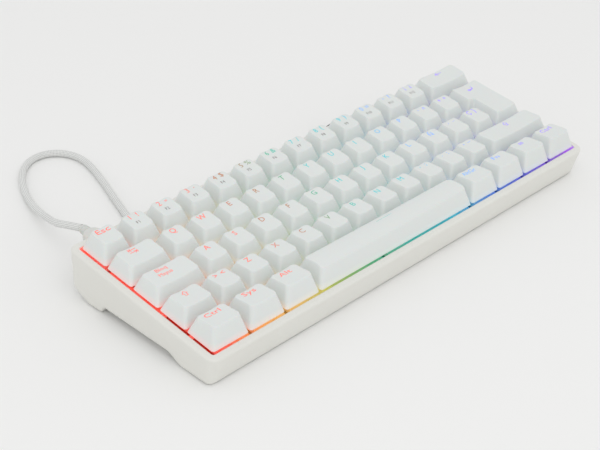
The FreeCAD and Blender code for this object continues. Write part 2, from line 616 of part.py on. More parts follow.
CAPS = {}
for name, column, line, width in KEYS:
    if name in ("key_backspace", "key_right_shift", "key_space"):
        CAPS[(line, width)] = keycap(f"cap_{name[4:]}", width, line, posts_of(name[4:]))
    elif (line, width) not in CAPS:
        CAPS[(line, width)] = keycap(f"cap_row{line}_{str(width).replace('.', '_')}", width, line)

# The tall Enter key: a wide upper half and a narrower lower half, flush at the right.
FRONT, FRONT_RISE, REAR, REAR_RISE = ROW_TOPS[2]


def enter_block(name, wall, lift):
    """The two overlapping tapered blocks of the Enter key, measured from its stem."""
    grow = f"{TALL} / {FRONT_RISE}"
    blocks = []
    for part, left, low, front, rear in (
            ("upper", f"-0.875 * {PITCH}", "0", "cap_inset", f"({REAR} - cap_gap)"),
            ("lower", f"-0.625 * {PITCH}", f"-{PITCH}", f"({FRONT} - cap_gap)", f"({REAR} - cap_gap)")):
        block = doc.addObject("Part::Wedge", f"{name}_{part}")
        block.Placement.Rotation = FreeCAD.Rotation(V(1, 0, 0), 90)
        bind(block, Xmin=f"{left} + cap_gap + {wall}", Xmax=f"0.625 * {PITCH} - cap_gap - {wall}",
             X2min=f"{left} + cap_gap + {wall} + cap_inset * {grow}",
             X2max=f"0.625 * {PITCH} - cap_gap - {wall} - cap_inset * {grow}",
             Zmin=f"-({PITCH} - cap_gap - {wall})", Z2min=f"-({PITCH} - cap_gap - {wall}) + {rear} * {grow}",
             Zmax=f"-({low} + cap_gap + {wall})", Z2max=f"-({low} + cap_gap + {wall}) - {front} * {grow}",
             Ymin="0", Ymax=TALL, at=("0", "0", lift))
        blocks.append(block)
    return fuse(name, *blocks)


enter_form = enter_block("enter_form", "0", "cap_lift")
enter_round = round_edges("enter_round", enter_form, "cap_edge", leaning)
enter_dish = doc.addObject("Part::Cylinder", "enter_dish")
enter_dish.Placement.Rotation = FreeCAD.Rotation(V(1, 0, 0), -90)
bind(enter_dish, Radius="enter_dish_radius", Height="120",
     at=("-1.2", "-60", "enter_height + enter_dish_radius"))
enter_top = cut("enter_top", enter_round, enter_dish)
enter_room = cut("enter_hollow", enter_block("enter_room", "cap_wall", "cap_lift - 0.01"),
                 roof_block("enter", 2))
CAPS["enter"] = finish_cap("cap_enter", cut("enter_shell", enter_top, enter_room), 2, posts_of("enter"))

for node in dict.fromkeys(key[0] for key in KEYS):
    copies = []
    for i, key in enumerate(k for k in KEYS if k[0] == node):
        place = centre_of(key)
        copies.append(bind(group(f"{node}_at_{i}", CAPS[(key[2], key[3])]), at=(*place, "0")))
    lay_on_key_plane(group(f"{node}_node", *copies), node)
enter_at = bind(group("key_enter_at", CAPS["enter"]), at=(*ENTER_CENTRE, "0"))
lay_on_key_plane(group("key_enter_node", enter_at), "key_enter")

# ---------------------------------------------------------------- screws and USB socket
screw = fuse("screw", rod("screw_top", "screw_head / 2", PLATE_TOP, f"{PLATE_TOP} + screw_head_height"),
             rod("screw_body", "screw_shank / 2 - 0.05", f"{BOARD_TOP} - board_thick - 3", PLATE_TOP))
screw_drive = rod("screw_drive", "0.6", f"{PLATE_TOP} + screw_head_height - 0.6", "0")
lay_on_key_plane(place_each("screws", cut("board_screw", screw, screw_drive), SCREW_PLACES), "board_screws")

socket_outside = pill("socket_outside", "port_width + 2 * port_wall", "port_height + 2 * port_wall",
                      "port_start", "port_length")
socket_inside = pill("socket_inside", "port_width", "port_height", "port_start + 0.6", "port_length")
# The socket's tongue reaches to 1.3 mm from its mouth.
tongue = box("tongue", "tongue_width", "port_length - 1.6", "tongue_height",
             ("port_centre - tongue_width / 2", "port_start + 0.3", "-port_level - tongue_height / 2"))
socket = fuse("socket", cut("socket_shell", socket_outside, socket_inside), tongue)
lay_on_key_plane(group("socket_group", socket), "usb_c_receptacle")

# ---------------------------------------------------------------- cable
PLUG_TIP = "port_start + port_length - plug_insert"
BOOT_START = f"{GRID_DEPTH} + rim_gap + rim_width + boot_gap"
plug_outside = pill("plug_outside", "plug_width", "plug_height", PLUG_TIP, f"{BOOT_START} - ({PLUG_TIP})")
plug_inside = pill("plug_inside", "plug_width - 2 * plug_wall", "plug_height - 2 * plug_wall",
                   PLUG_TIP + " - 0.1", "plug_insert")
lay_on_key_plane(cut("plug", plug_outside, plug_inside), "usb_c_plug")
boot_grip = pill("boot_grip", "boot_width", "boot_height", BOOT_START, "boot_length")
boot_neck = doc.addObject("Part::Cone", "boot_neck")
boot_neck.Placement.Rotation = FreeCAD.Rotation(V(1, 0, 0), -90)
bind(boot_neck, Radius1="relief_size / 2", Radius2="cord_size / 2 + 0.35", Height="relief_length",
     at=("port_centre", f"{BOOT_START} + boot_length", "-port_level"))
lay_on_key_plane(fuse("boot", boot_grip, boot_neck), "plug_boot")


def on_key_plane(u, v, w):
    """A point of the key plane's coordinates in the row frame."""
    tilt = math.radians(size("typing_angle"))
    half = size("grid_columns") * size("key_pitch") / 2
    return V(u - half, size("key_plane_front") + v * math.cos(tilt) - w * math.sin(tilt),
             size("key_plane_height") + v * math.sin(tilt) + w * math.cos(tilt))


# The cable's route: out of the boot, down to the table, round a wide loop and back to the
# rear of the case, where its spare length lies folded.
boot_end = (size("grid_rows") * size("key_pitch") + size("rim_gap") + size("rim_width") + size("boot_gap")
            + size("boot_length") + size("relief_length"))
EXIT = on_key_plane(size("port_centre"), boot_end, -size("port_level"))
HANK_LEFT, HANK_NEAR = size("hank_left"), size("hank_near")
TAIL_LINE = HANK_NEAR + size("tail_setback")
ROUTE = [EXIT, V(-125.6, 78.9, 19.6), V(-124.6, 90.9, 14.6), V(-120.0, 104.9, 9.6),
         V(-115.6, 118.9, 5.2), V(-110.2, 134.4, 2.4), V(-102.6, 150.4, 2.1), V(-93.6, 163.0, 2.1),
         V(-82.4, 170.2, 2.1), V(-70.4, 169.8, 2.1), V(-61.8, 161.4, 2.1), V(-59.6, 149.0, 2.1),
         V(-64.0, 131.8, 2.1), V(-70.8, 113.0, 2.1), V(-77.6, 95.4, 2.1), V(-82.4, 80.4, 2.1),
         V(-82.0, 67.8, 2.1), V(-74.4, 58.6, 2.1), V(-63.0, 55.2, 2.1), V(-46.0, 54.7, 2.1),
         V(-28.0, 55.3, 2.1),
         V(HANK_LEFT + 1.0, HANK_NEAR + 3.2, 3.1)]
TAIL = [V(HANK_LEFT + 3.0, TAIL_LINE, 9.6), V(HANK_LEFT - 6.0, TAIL_LINE, 9.0),
        V(HANK_LEFT - 14.0, TAIL_LINE, 5.2), V(HANK_LEFT - size("tail_run"), TAIL_LINE, 4.05)]


def bent_tube(points, radius):
    """A round tube of straight runs joined by tangent arcs. Returns it and its arcs' radii."""
    edges, radii, last = [], [], points[0]
    for before, here, after in zip(points, points[1:], points[2:]):
        back, ahead = before - here, after - here
        short = min(back.Length, ahead.Length)
        back.normalize()
        ahead.normalize()
        turn = math.pi - back.getAngle(ahead)
        set_back = 0.45 * short
        radii.append(set_back / math.tan(turn / 2))
        start, end = here + back * set_back, here + ahead * set_back
        bisector = back + ahead
        bisector.normalize()
        bend = radii[-1]
        centre = here + bisector * (bend / math.cos(turn / 2))
        middle = centre - bisector * bend
        edges += [Part.LineSegment(last, start).toShape(), Part.Arc(start, middle, end).toShape()]
        last = end
    edges.append(Part.LineSegment(last, points[-1]).toShape())
    path = Part.Wire(edges)
    heading = points[1] - points[0]
    circle = Part.Wire([Part.Circle(points[0], heading, radius).toShape()])
    return path.makePipeShell([circle], True, False), radii, path.Length


tubes = []
for name, route in (("run", ROUTE), ("tail", TAIL)):
    tube, radii, length = bent_tube(route, size("cord_size") / 2)
    section = math.pi * size("cord_size") ** 2 / 4
    print(f"cable {name}: length {length:.1f}, volume over section times length "
          f"{tube.Volume / (length * section):.4f}, radii {[round(r, 1) for r in radii]}")
    tubes.append(tube)
cable_run = doc.addObject("Part::Feature", "cable_run")
cable_run.Shape = Part.Compound(tubes)
sub_part(cable_run, "cable_run")

# The folded spare length, three flat turns on top of each other, as one plain block.
HANK_CENTRE = ("hank_left + (hank_run + hank_width) / 2", "hank_near + hank_width / 2")
HANK_ENDS = ("hank_run + hank_width", "hank_run + hank_top")
hank = taper("hank", (HANK_ENDS[0], "hank_width"), (HANK_ENDS[1], "hank_top"), "hank_lift",
             "hank_lift + hank_height", HANK_CENTRE)
sub_part(group("hank_group", hank), "cable_hank")
tie_inside = taper("tie_inside", (HANK_ENDS[0], "hank_width + 0.1"), (HANK_ENDS[1], "hank_top + 0.1"),
                   "hank_lift - 0.02", "hank_lift + hank_height + 0.02", HANK_CENTRE)
tie_form = taper("tie_form", ("tie_width", "hank_width + 2 * tie_thick"),
                 ("tie_width", "hank_top + 2 * tie_thick"),
                 "floor_gap", "hank_lift + hank_height + tie_thick", HANK_CENTRE)
sub_part(cut("tie", tie_form, tie_inside), "hank_tie")

# The plug on the far end lies beside the fold.
PLUG_LINE = "hank_near + tail_setback"
GRIP_END = "hank_left - tail_run"
grip = slab("grip", "grip_length", "grip_width", "floor_gap", "grip_height + floor_gap",
            (f"{GRIP_END} - grip_length / 2", PLUG_LINE))
grip_round = round_edges("grip_round", grip, "grip_corner", lambda edge: edge.BoundBox.XLength > 20)
SHELL_MIDDLE = f"{GRIP_END} - grip_length - usb_length / 2"
usb_outside = slab("usb_outside", "usb_length", "usb_width", "(grip_height - usb_height) / 2",
                   "(grip_height + usb_height) / 2", (SHELL_MIDDLE, PLUG_LINE))
usb_inside = slab("usb_inside", "usb_length", "usb_width - 2 * usb_wall",
                  "(grip_height - usb_height) / 2 + usb_wall", "(grip_height + usb_height) / 2 - usb_wall",
                  (f"{SHELL_MIDDLE} - 0.5", PLUG_LINE))
usb_tongue = slab("usb_tongue", "usb_length - 1", "usb_width - 2 * usb_wall - 0.6", "grip_height / 2 + 0.15",
                  "grip_height / 2 + 1.75", (f"{SHELL_MIDDLE} + 0.5", PLUG_LINE))
usb_shell = cut("usb_shell", usb_outside, usb_inside)
sub_part(fuse("usb_plug", grip_round, usb_shell, usb_tongue), "usb_a_plug")

# ---------------------------------------------------------------- check and write
doc.recompute()
failed = [f"{thing.Name}: {thing.State}" for thing in doc.Objects
          if "Invalid" in thing.State or "Error" in thing.State]
for thing in SUB_PARTS:
    if thing.Shape.isNull() or not thing.Shape.isValid() or not thing.Shape.Solids:
        failed.append(f"{thing.Label}: empty or not valid")
if failed:
    raise RuntimeError("failed: " + "; ".join(failed))
for thing in SUB_PARTS:
    thing.Shape.exportStep(f"parts/{thing.Label}.step")
print(len(SUB_PARTS), "sub-parts,", sum(len(thing.Shape.Solids) for thing in SUB_PARTS), "solids")
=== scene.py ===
"""Looks of a compact 62-key mechanical keyboard: a white moulded tray, two-shot keycaps with
lit legends over coloured lamps, and a braided USB cable in a loop behind it."""
import bpy
import bmesh
import json
import math
from mathutils import Matrix, Vector


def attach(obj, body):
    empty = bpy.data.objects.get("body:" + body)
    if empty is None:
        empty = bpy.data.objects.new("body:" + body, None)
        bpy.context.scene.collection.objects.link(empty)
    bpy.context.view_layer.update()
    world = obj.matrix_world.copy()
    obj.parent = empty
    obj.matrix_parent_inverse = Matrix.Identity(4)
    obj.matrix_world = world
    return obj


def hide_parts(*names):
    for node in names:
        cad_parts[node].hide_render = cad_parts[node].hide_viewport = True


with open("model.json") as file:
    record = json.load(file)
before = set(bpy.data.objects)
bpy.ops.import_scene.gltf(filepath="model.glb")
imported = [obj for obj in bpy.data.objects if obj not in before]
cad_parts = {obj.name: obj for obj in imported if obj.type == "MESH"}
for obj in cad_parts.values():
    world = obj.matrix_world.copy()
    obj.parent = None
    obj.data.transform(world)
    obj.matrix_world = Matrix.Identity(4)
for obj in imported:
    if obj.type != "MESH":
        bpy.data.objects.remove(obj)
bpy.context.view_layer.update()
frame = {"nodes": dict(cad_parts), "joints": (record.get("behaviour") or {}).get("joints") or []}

# ---------------------------------------------------------------- camera
# A long lens from the front left, above the desk, with the picture turned a little.
heading, dip, roll = math.radians(47.7215), math.radians(32.6513), math.radians(3.015)
aim = Vector((-0.03798, -0.00109, 0.020))
distance = 0.7163
ahead = Vector((math.sin(heading) * math.cos(dip), math.cos(heading) * math.cos(dip), -math.sin(dip)))
level_right = ahead.cross(Vector((0, 0, 1))).normalized()
level_up = level_right.cross(ahead)
right = level_right * math.cos(roll) + level_up * math.sin(roll)
camera = bpy.data.objects.new("camera", bpy.data.cameras.new("camera"))
camera.data.lens = 83.1246
camera.data.sensor_width = 36
turn = Matrix((right, right.cross(ahead), -ahead)).transposed()
camera.matrix_world = Matrix.Translation(aim - ahead * distance) @ turn.to_4x4()
bpy.context.scene.collection.objects.link(camera)
bpy.context.scene.camera = camera

# ---------------------------------------------------------------- cable
# A 4 mm USB lead: four cores in a soft jacket, sleeved in a white braid of polyester yarn that
# was woven round it by machine. It leaves the boot, drops to the desk in one loop, and its
# spare length lies folded behind the case.
CORD = 4.0
cord_exit = (-124.375, 69.0, 22.0)
lead = [cord_exit, (-125.6, 78.9, 19.6), (-124.6, 90.9, 14.6), (-120.0, 104.9, 9.6),
        (-115.6, 118.9, 5.2), (-110.2, 134.4, 2.4), (-102.6, 150.4, 2.1), (-93.6, 163.0, 2.1),
        (-82.4, 170.2, 2.1), (-70.4, 169.8, 2.1), (-61.8, 161.4, 2.1), (-59.6, 149.0, 2.1),
        (-64.0, 131.8, 2.1), (-70.8, 113.0, 2.1), (-77.6, 95.4, 2.1), (-82.4, 80.4, 2.1),
        (-82.0, 67.8, 2.1), (-74.4, 58.6, 2.1), (-63.0, 55.2, 2.1), (-46.0, 54.7, 2.1),
        (-28.0, 55.3, 2.1), (-8.0, 54.8, 2.1)]
tail = [(-6.0, 69.4, 9.4), (-13.5, 69.1, 8.0), (-20.5, 68.9, 5.2), (-28.5, 68.9, 4.05)]
WALL_SIDE, FOLD_LEFT, FOLD_RIGHT, FOLD_STEPS = 54.5, 8.0, 132.0, 6


def fold(layer_from, layer_to, side):
    """A half turn at one end of the hank, from one layer's strand to the next one's."""
    across = (layer_from[1] + layer_to[0]) / 2 if side < 0 else sum(layer_from[:2]) / 2
    radius = abs(layer_from[1] - across)
    centre_x = FOLD_RIGHT if side > 0 else FOLD_LEFT
    points = []
    for i in range(FOLD_STEPS + 1):
        angle = math.pi * i / FOLD_STEPS
        level = layer_from[2] + (layer_to[2] - layer_from[2]) * i / FOLD_STEPS
        points.append((centre_x + side * radius * math.sin(angle),
                       across - side * radius * math.cos(angle), level))
    return points


def straight(y, z, start, end, wander):
    """A run of the hank between its folds, a little off straight as hand-laid cord is."""
    return [(start + (end - start) * share, y + wander * math.sin(9 * share), z)
            for share in (0.2, 0.4, 0.6, 0.8)]


layers = [(WALL_SIDE, 78.3, 2.1), (WALL_SIDE, 74.6, 6.1), (WALL_SIDE, 70.7, 10.1)]
hank = []
for i, (near, far, level) in enumerate(layers):
    hank += straight(near, level, FOLD_LEFT, FOLD_RIGHT, 0.25 if i else 0.0)
    hank += fold((near, far, level), (near, far, level), 1)
    hank += straight(far, level, FOLD_RIGHT, FOLD_LEFT, -0.3)
    if i < 2:
        hank += fold((near, far, level), layers[i + 1], -1)
route = [Vector(point) / 1000 for point in lead + hank + tail]


def spline_line(points):
    """The smooth line of a NURBS spline with these control points."""
    curve = bpy.data.curves.new("cord_line", "CURVE")
    curve.dimensions = "3D"
    curve.resolution_u = 8
    spline = curve.splines.new("NURBS")
    spline.points.add(len(points) - 1)
    for knot, point in zip(spline.points, points):
        knot.co = (*point, 1)
    spline.order_u = 3
    spline.use_endpoint_u = True
    shape = bpy.data.objects.new("cord_line", curve)
    bpy.context.scene.collection.objects.link(shape)
    bpy.context.view_layer.update()
    line = [v.co.copy() for v in bpy.data.meshes.new_from_object(shape).vertices]
    bpy.data.objects.remove(shape)
    return line


def piece(name, vertices, faces, *materials, smooth=True, face_materials=None):
    """A mesh object from points in metres."""
    mesh = bpy.data.meshes.new(name)
    mesh.from_pydata([tuple(v) for v in vertices], [], faces)
    for material in materials:
        mesh.materials.append(material)
    if face_materials:
        mesh.polygons.foreach_set("material_index", face_materials)
    mesh.polygons.foreach_set("use_smooth", [smooth] * len(mesh.polygons))
    mesh.update()
    made = bpy.data.objects.new(name, mesh)
    bpy.context.scene.collection.objects.link(made)
    return made


def sleeve(name, line, radius, sides, material):
    """A round tube along a line, with its length and girth in millimetres as a UV map."""
    vertices, faces, along = [], [], [0.0]
    forward = (line[1] - line[0]).normalized()
    side = forward.cross(Vector((0, 0, 1))).normalized()
    for i, point in enumerate(line):
        ahead_of = line[min(i + 1, len(line) - 1)] - line[max(i - 1, 0)]
        forward = ahead_of.normalized()
        side = (side - forward * side.dot(forward)).normalized()
        up = side.cross(forward)
        if i:
            along.append(along[-1] + (point - line[i - 1]).length * 1000)
        for k in range(sides):
            angle = 2 * math.pi * k / sides
            vertices.append(point + (side * math.cos(angle) + up * math.sin(angle)) * radius)
    for i in range(len(line) - 1):
        for k in range(sides):
            after = (k + 1) % sides
            faces.append((i * sides + k, i * sides + after, (i + 1) * sides + after, (i + 1) * sides + k))
    quads = len(faces)
    faces += [tuple(range(sides))[::-1], tuple(range(len(vertices) - sides, len(vertices)))]
    tube = piece(name, vertices, faces, material)
    uv = tube.data.uv_layers.new(name="length_and_girth")
    girth = 2 * math.pi * radius * 1000 / sides
    for f in range(quads):
        i, k = divmod(f, sides)
        corners = ((along[i], k), (along[i], k + 1), (along[i + 1], k + 1), (along[i + 1], k))
        for loop, (u, v) in zip(tube.data.polygons[f].loop_indices, corners):
            uv.data[loop].uv = (u, v * girth)
    return tube


def linear(hex_colour):
    """An sRGB hex colour as the linear RGBA that shaders take."""
    channels = [int(hex_colour[i:i + 2], 16) / 255 for i in (1, 3, 5)]
    return (*[c / 12.92 if c <= 0.04045 else ((c + 0.055) / 1.055) ** 2.4 for c in channels], 1)


def add(tree, kind, links=(), **settings):
    """Adds a node, sets its properties and inputs, and links (input, source socket) pairs."""
    made = tree.nodes.new(f"ShaderNode{kind}")
    for key, value in settings.items():
        if hasattr(made, key):
            setattr(made, key, value)
        else:
            made.inputs[key.replace("_", " ")].default_value = value
    for target, source in links:
        tree.links.new(source, made.inputs[target])
    return made


def finish_of(name, colour, roughness, **settings):
    """A new material with its shader. Returns the material, its node tree and the shader."""
    material = bpy.data.materials.new(name)
    material.use_nodes = True
    shader = material.node_tree.nodes["Principled BSDF"]
    shader.inputs["Base Color"].default_value = linear(colour)
    shader.inputs["Roughness"].default_value = roughness
    for key, value in settings.items():
        shader.inputs[key.replace("_", " ")].default_value = value
    return material, material.node_tree, shader


def braided_polyester():
    """White polyester yarn, woven: bright matt strands that cross at 45 degrees, with the grey
    of the jacket in the small gaps. The real strands are 0.5 mm wide, drawn 0.9 mm to show."""
    material, tree, shader = finish_of("braided_polyester", "#E9EAE8", 0.62, Sheen_Weight=0.25)
    strand = 0.9
    where = add(tree, "UVMap", uv_map="length_and_girth")
    split = add(tree, "SeparateXYZ", [(0, where.outputs[0])])
    waves = []
    for way in (1, -1):
        turned = add(tree, "Math", [(0, split.outputs[1])], operation="MULTIPLY")
        turned.inputs[1].default_value = way
        lean = add(tree, "Math", [(0, split.outputs[0]), (1, turned.outputs[0])], operation="ADD")
        phase = add(tree, "Math", [(0, lean.outputs[0])], operation="MULTIPLY")
        phase.inputs[1].default_value = math.pi / strand
        wave = add(tree, "Math", [(0, phase.outputs[0])], operation="SINE")
        waves.append(wave)
    product = add(tree, "Math", [(0, waves[0].outputs[0]), (1, waves[1].outputs[0])], operation="MULTIPLY")
    relief = add(tree, "MapRange", [(0, product.outputs[0])])
    relief.inputs[1].default_value = -1
    ramp = add(tree, "ValToRGB", [(0, relief.outputs[0])])
    ramp.color_ramp.elements[0].position = 0.05
    ramp.color_ramp.elements[0].color = linear("#8E918F")
    ramp.color_ramp.elements[1].position = 0.45
    ramp.color_ramp.elements[1].color = linear("#EDEEEC")
    tree.links.new(ramp.outputs[0], shader.inputs["Base Color"])
    bump = add(tree, "Bump", [("Height", relief.outputs[0])], Strength=0.6, Distance=0.00025)
    tree.links.new(bump.outputs[0], shader.inputs["Normal"])
    return material


cord_line = spline_line(route)
cord = sleeve("usb_lead", cord_line, CORD / 2000, 14, braided_polyester())
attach(cord, "cable")
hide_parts("cable_run", "cable_hank")

# ---------------------------------------------------------------- cable boot and plugs
# Soft grey-white TPE moulded over the ends of the lead: a squarish grip that narrows to a
# ribbed strain relief. The plugs' shells are drawn steel, nickel plated.
KEY_PITCH = 19.05
TILT = math.asin(frame["joints"][0]["axis"][1])
KEY_PLANE = (Matrix.Translation((-7.5 * KEY_PITCH, -47.65, 18.1)) @ Matrix.Rotation(TILT, 4, "X"))


def on_plane(u, v, w):
    """A point of the key plane (right, rearward, up from the rim, mm) in metres."""
    return (KEY_PLANE @ Vector((u, v, w))) / 1000


def loft(sections, sides, place):
    """Rings of a rounded box: each section is (distance, half width, half height, power)."""
    vertices, faces = [], []
    for distance_along, half_width, half_height, power in sections:
        for k in range(sides):
            angle = 2 * math.pi * k / sides
            c, s = math.cos(angle), math.sin(angle)
            across = half_width * math.copysign(abs(c) ** (2 / power), c)
            up = half_height * math.copysign(abs(s) ** (2 / power), s)
            vertices.append(place(across, distance_along, up))
    for i in range(len(sections) - 1):
        for k in range(sides):
            after = (k + 1) % sides
            faces.append((i * sides + k, (i + 1) * sides + k, (i + 1) * sides + after, i * sides + after))
    faces += [tuple(range(sides)), tuple(range(len(vertices) - sides, len(vertices)))[::-1]]
    return vertices, faces


def grain(tree, shader, size_mm, strength, depth_mm, detail=3.0):
    """The fine spark-eroded texture that a mould leaves on plastic."""
    where = add(tree, "TexCoord")
    noise = add(tree, "TexNoise", [("Vector", where.outputs["Object"])], Scale=1000 / size_mm, Detail=detail)
    bump = add(tree, "Bump", [("Height", noise.outputs[0])], Strength=strength, Distance=depth_mm / 1000)
    tree.links.new(bump.outputs[0], shader.inputs["Normal"])
    return where


def moulded_tpe():
    """Soft moulded TPE: dull, slightly grey white, with a faint grain."""
    material, tree, shader = finish_of("moulded_tpe", "#D9DAD6", 0.6, Subsurface_Weight=0.08,
                                       Subsurface_Scale=0.001)
    grain(tree, shader, 0.5, 0.25, 0.05)
    return material


def drawn_steel():
    """Nickel-plated drawn steel: bright, with fine lines along the draw."""
    material, tree, shader = finish_of("nickel_plated_steel", "#B9B9BB", 0.28, Metallic=1.0)
    where = add(tree, "TexCoord")
    stretch = add(tree, "Mapping", [("Vector", where.outputs["Object"])], Scale=(300, 9000, 9000))
    noise = add(tree, "TexNoise", [("Vector", stretch.outputs[0])], Scale=1.0, Detail=2.0)
    rough = add(tree, "MapRange", [(0, noise.outputs[0])])
    rough.inputs[3].default_value = 0.2
    rough.inputs[4].default_value = 0.38
    tree.links.new(rough.outputs[0], shader.inputs["Roughness"])
    return material


tpe = moulded_tpe()
steel = drawn_steel()
PORT_U, PORT_W, BOOT_START = 18.5, -9.3, 100.35
boot_sections = [(BOOT_START, 4.9, 2.7, 5), (BOOT_START + 0.35, 5.35, 3.15, 5),
                 (BOOT_START + 1.0, 5.5, 3.3, 5), (BOOT_START + 6.5, 5.4, 3.25, 5),
                 (BOOT_START + 9.2, 4.9, 3.1, 4), (BOOT_START + 10.6, 4.0, 2.95, 3),
                 (BOOT_START + 11.3, 3.1, 2.8, 2.2)]
for i in range(3):
    start = BOOT_START + 11.5 + 1.35 * i
    girth = 2.85 - 0.17 * i
    boot_sections += [(start, girth - 0.35, girth - 0.35, 2), (start + 0.3, girth - 0.35, girth - 0.35, 2),
                      (start + 0.45, girth, girth, 2), (start + 1.05, girth - 0.05, girth - 0.05, 2)]
boot_sections += [(BOOT_START + 15.7, 2.35, 2.35, 2), (BOOT_START + 16.0, 2.15, 2.15, 2)]
boot = piece("usb_c_boot", *loft(boot_sections, 40, lambda a, d, h: on_plane(PORT_U + a, d, PORT_W + h)), tpe)
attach(boot, "cable")
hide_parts("plug_boot")

GRIP_END, PLUG_LINE, PLUG_LEVEL = -28.5, 68.9, 4.05
grip_sections = [(0.0, 2.5, 2.4, 2.4), (0.5, 3.6, 3.0, 2.8), (2.0, 4.9, 3.4, 3), (5.0, 6.6, 3.75, 4),
                 (8.0, 7.6, 3.95, 5), (24.5, 7.9, 3.98, 6), (26.3, 7.75, 3.85, 6), (26.9, 7.2, 3.3, 6)]
grip = piece("usb_a_grip", *loft(grip_sections, 48, lambda a, d, h: Vector(
    (GRIP_END - d, PLUG_LINE + a, PLUG_LEVEL + h)) / 1000), tpe)
shell_sections = [(26.5, 5.85, 2.1, 16), (26.6, 6.0, 2.25, 16), (38.8, 6.0, 2.25, 16), (39.0, 5.9, 2.15, 16),
                  (39.0, 5.65, 1.9, 16), (28.0, 5.65, 1.9, 16)]
shell = piece("usb_a_shell", *loft(shell_sections, 64, lambda a, d, h: Vector(
    (GRIP_END - d, PLUG_LINE + a, PLUG_LEVEL + h)) / 1000), steel)
insulator, tree, shader = finish_of("white_nylon_insulator", "#E4E3DC", 0.4)
grain(tree, shader, 0.4, 0.2, 0.03)
tongue_sections = [(27.5, 5.4, 0.75, 12), (38.2, 5.4, 0.75, 12), (38.5, 5.2, 0.6, 12)]
tongue = piece("usb_a_tongue", *loft(tongue_sections, 32, lambda a, d, h: Vector(
    (GRIP_END - d, PLUG_LINE + a, PLUG_LEVEL + 1.0 + h)) / 1000), insulator)
for part in (grip, shell, tongue):
    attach(part, "cable")
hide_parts("usb_a_plug")
frame["nodes"]["usb_c_plug"].data.materials.clear()
frame["nodes"]["usb_c_plug"].data.materials.append(steel)

# The hank's tie: a strap of looped nylon, wrapped once round the strands.
STRAP_X, STRAP_HALF, STRAP_THICK = 69.7, 4.5, 0.9
corners = [(layers[0][0], 2.1), (layers[0][1], 2.1),
           (layers[2][1], layers[2][2]), (layers[2][0], layers[2][2])]
strap_profile = [(-1, 0.05), (-0.96, 0.0), (0.96, 0.0), (1, 0.05),
                 (1, 0.95), (0.96, 1.0), (-0.96, 1.0), (-1, 0.95)]
strap_vertices, strap_faces, STRAP_STEPS = [], [], 96
for i in range(STRAP_STEPS):
    angle = 2 * math.pi * i / STRAP_STEPS
    way = Vector((math.cos(angle), math.sin(angle)))
    corner = max((Vector(c) for c in corners), key=way.dot)
    for across, outward in strap_profile:
        hug = corner + way * (CORD / 2 + 0.05 + STRAP_THICK * outward)
        strap_vertices.append(Vector((STRAP_X + STRAP_HALF * across, hug.x, max(hug.y, 0.02))) / 1000)
for i in range(STRAP_STEPS):
    for k in range(8):
        a, b = i * 8 + k, i * 8 + (k + 1) % 8
        c, d = ((i + 1) % STRAP_STEPS) * 8 + (k + 1) % 8, ((i + 1) % STRAP_STEPS) * 8 + k
        strap_faces.append((a, d, c, b))
nylon_loop, tree, shader = finish_of("looped_nylon_strap", "#2B2C2E", 0.85, Sheen_Weight=0.6)
grain(tree, shader, 0.6, 0.8, 0.3)
strap = piece("hank_strap", strap_vertices, strap_faces, nylon_loop)
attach(strap, "cable")
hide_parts("hank_tie")

# ---------------------------------------------------------------- case tray
# One injection moulding in warm white ABS: a flat rim 4 mm wide round the keys, drafted walls,
# two long feet and a belly raised between them. The mould's spark-eroded texture leaves it matt,
# and the lamps' light on its inside is painted on as a glow.
GRID_U, GRID_V = 15 * KEY_PITCH, 5 * KEY_PITCH
RIM_GAP, RIM_WIDTH, DRAFT = 0.5, 4.0, 1.9 / 20
OUTER, OUTER_CORNER, INNER_CORNER = RIM_GAP + RIM_WIDTH, 5.0, 1.2
RIM_ROUND, FOOT_ROUND = 1.2, 1.7
FRONT = -47.65


def step(x, low, high):
    """0 below low and 1 above high, with a smooth S between them."""
    t = min(max((x - low) / (high - low), 0), 1)
    return t * t * (3 - 2 * t)


def underside(y):
    """The level of the tray's underside: feet, raised belly and the bevelled heel."""
    back = y - FRONT
    belly = 3.9 * step(back, 18.5, 29.0) * (1 - step(back, 74.5, 78.0))
    heel = 0.42 * max(back - 87.0, 0) + 0.45 * max(back - 96.5, 0)
    return 0.5 + belly + heel


def tray_floor(y):
    """The level of the floor inside the tray."""
    return 2.5 + 3.9 * step(y - FRONT, 17.0, 27.0)


def half_outline(margin, corner):
    """The left half of a rounded outline round the key grid, from the front to the rear."""
    near, far, side = -margin + corner, GRID_V + margin - corner, -margin + corner
    points = []
    for i in range(9):
        angle = math.radians(270 - 90 * i / 8)
        points.append((side + corner * math.cos(angle), near + corner * math.sin(angle)))
    points += [(-margin, near + (far - near) * i / 72) for i in range(1, 72)]
    for i in range(9):
        angle = math.radians(180 - 90 * i / 8)
        points.append((side + corner * math.cos(angle), far + corner * math.sin(angle)))
    return points


def depth_to(level_of, u, v, draft=0.0):
    """How far down the key plane's normal a wall from (u, v) reaches the level."""
    depth = 20.0
    for _ in range(6):
        at = KEY_PLANE @ Vector((u, v + draft * depth, -depth))
        depth += (at.z - level_of(at.y)) / math.cos(TILT)
    return depth


def ring(margin, corner, depth_at):
    """A closed ring of points on the tray's wall, down the left half and back up the right."""
    left = half_outline(margin, corner)
    full = left + [(GRID_U - u, v) for u, v in reversed(left)]
    return [on_plane(u, v, -depth_at(i, u, v)) for i, (u, v) in enumerate(full)]


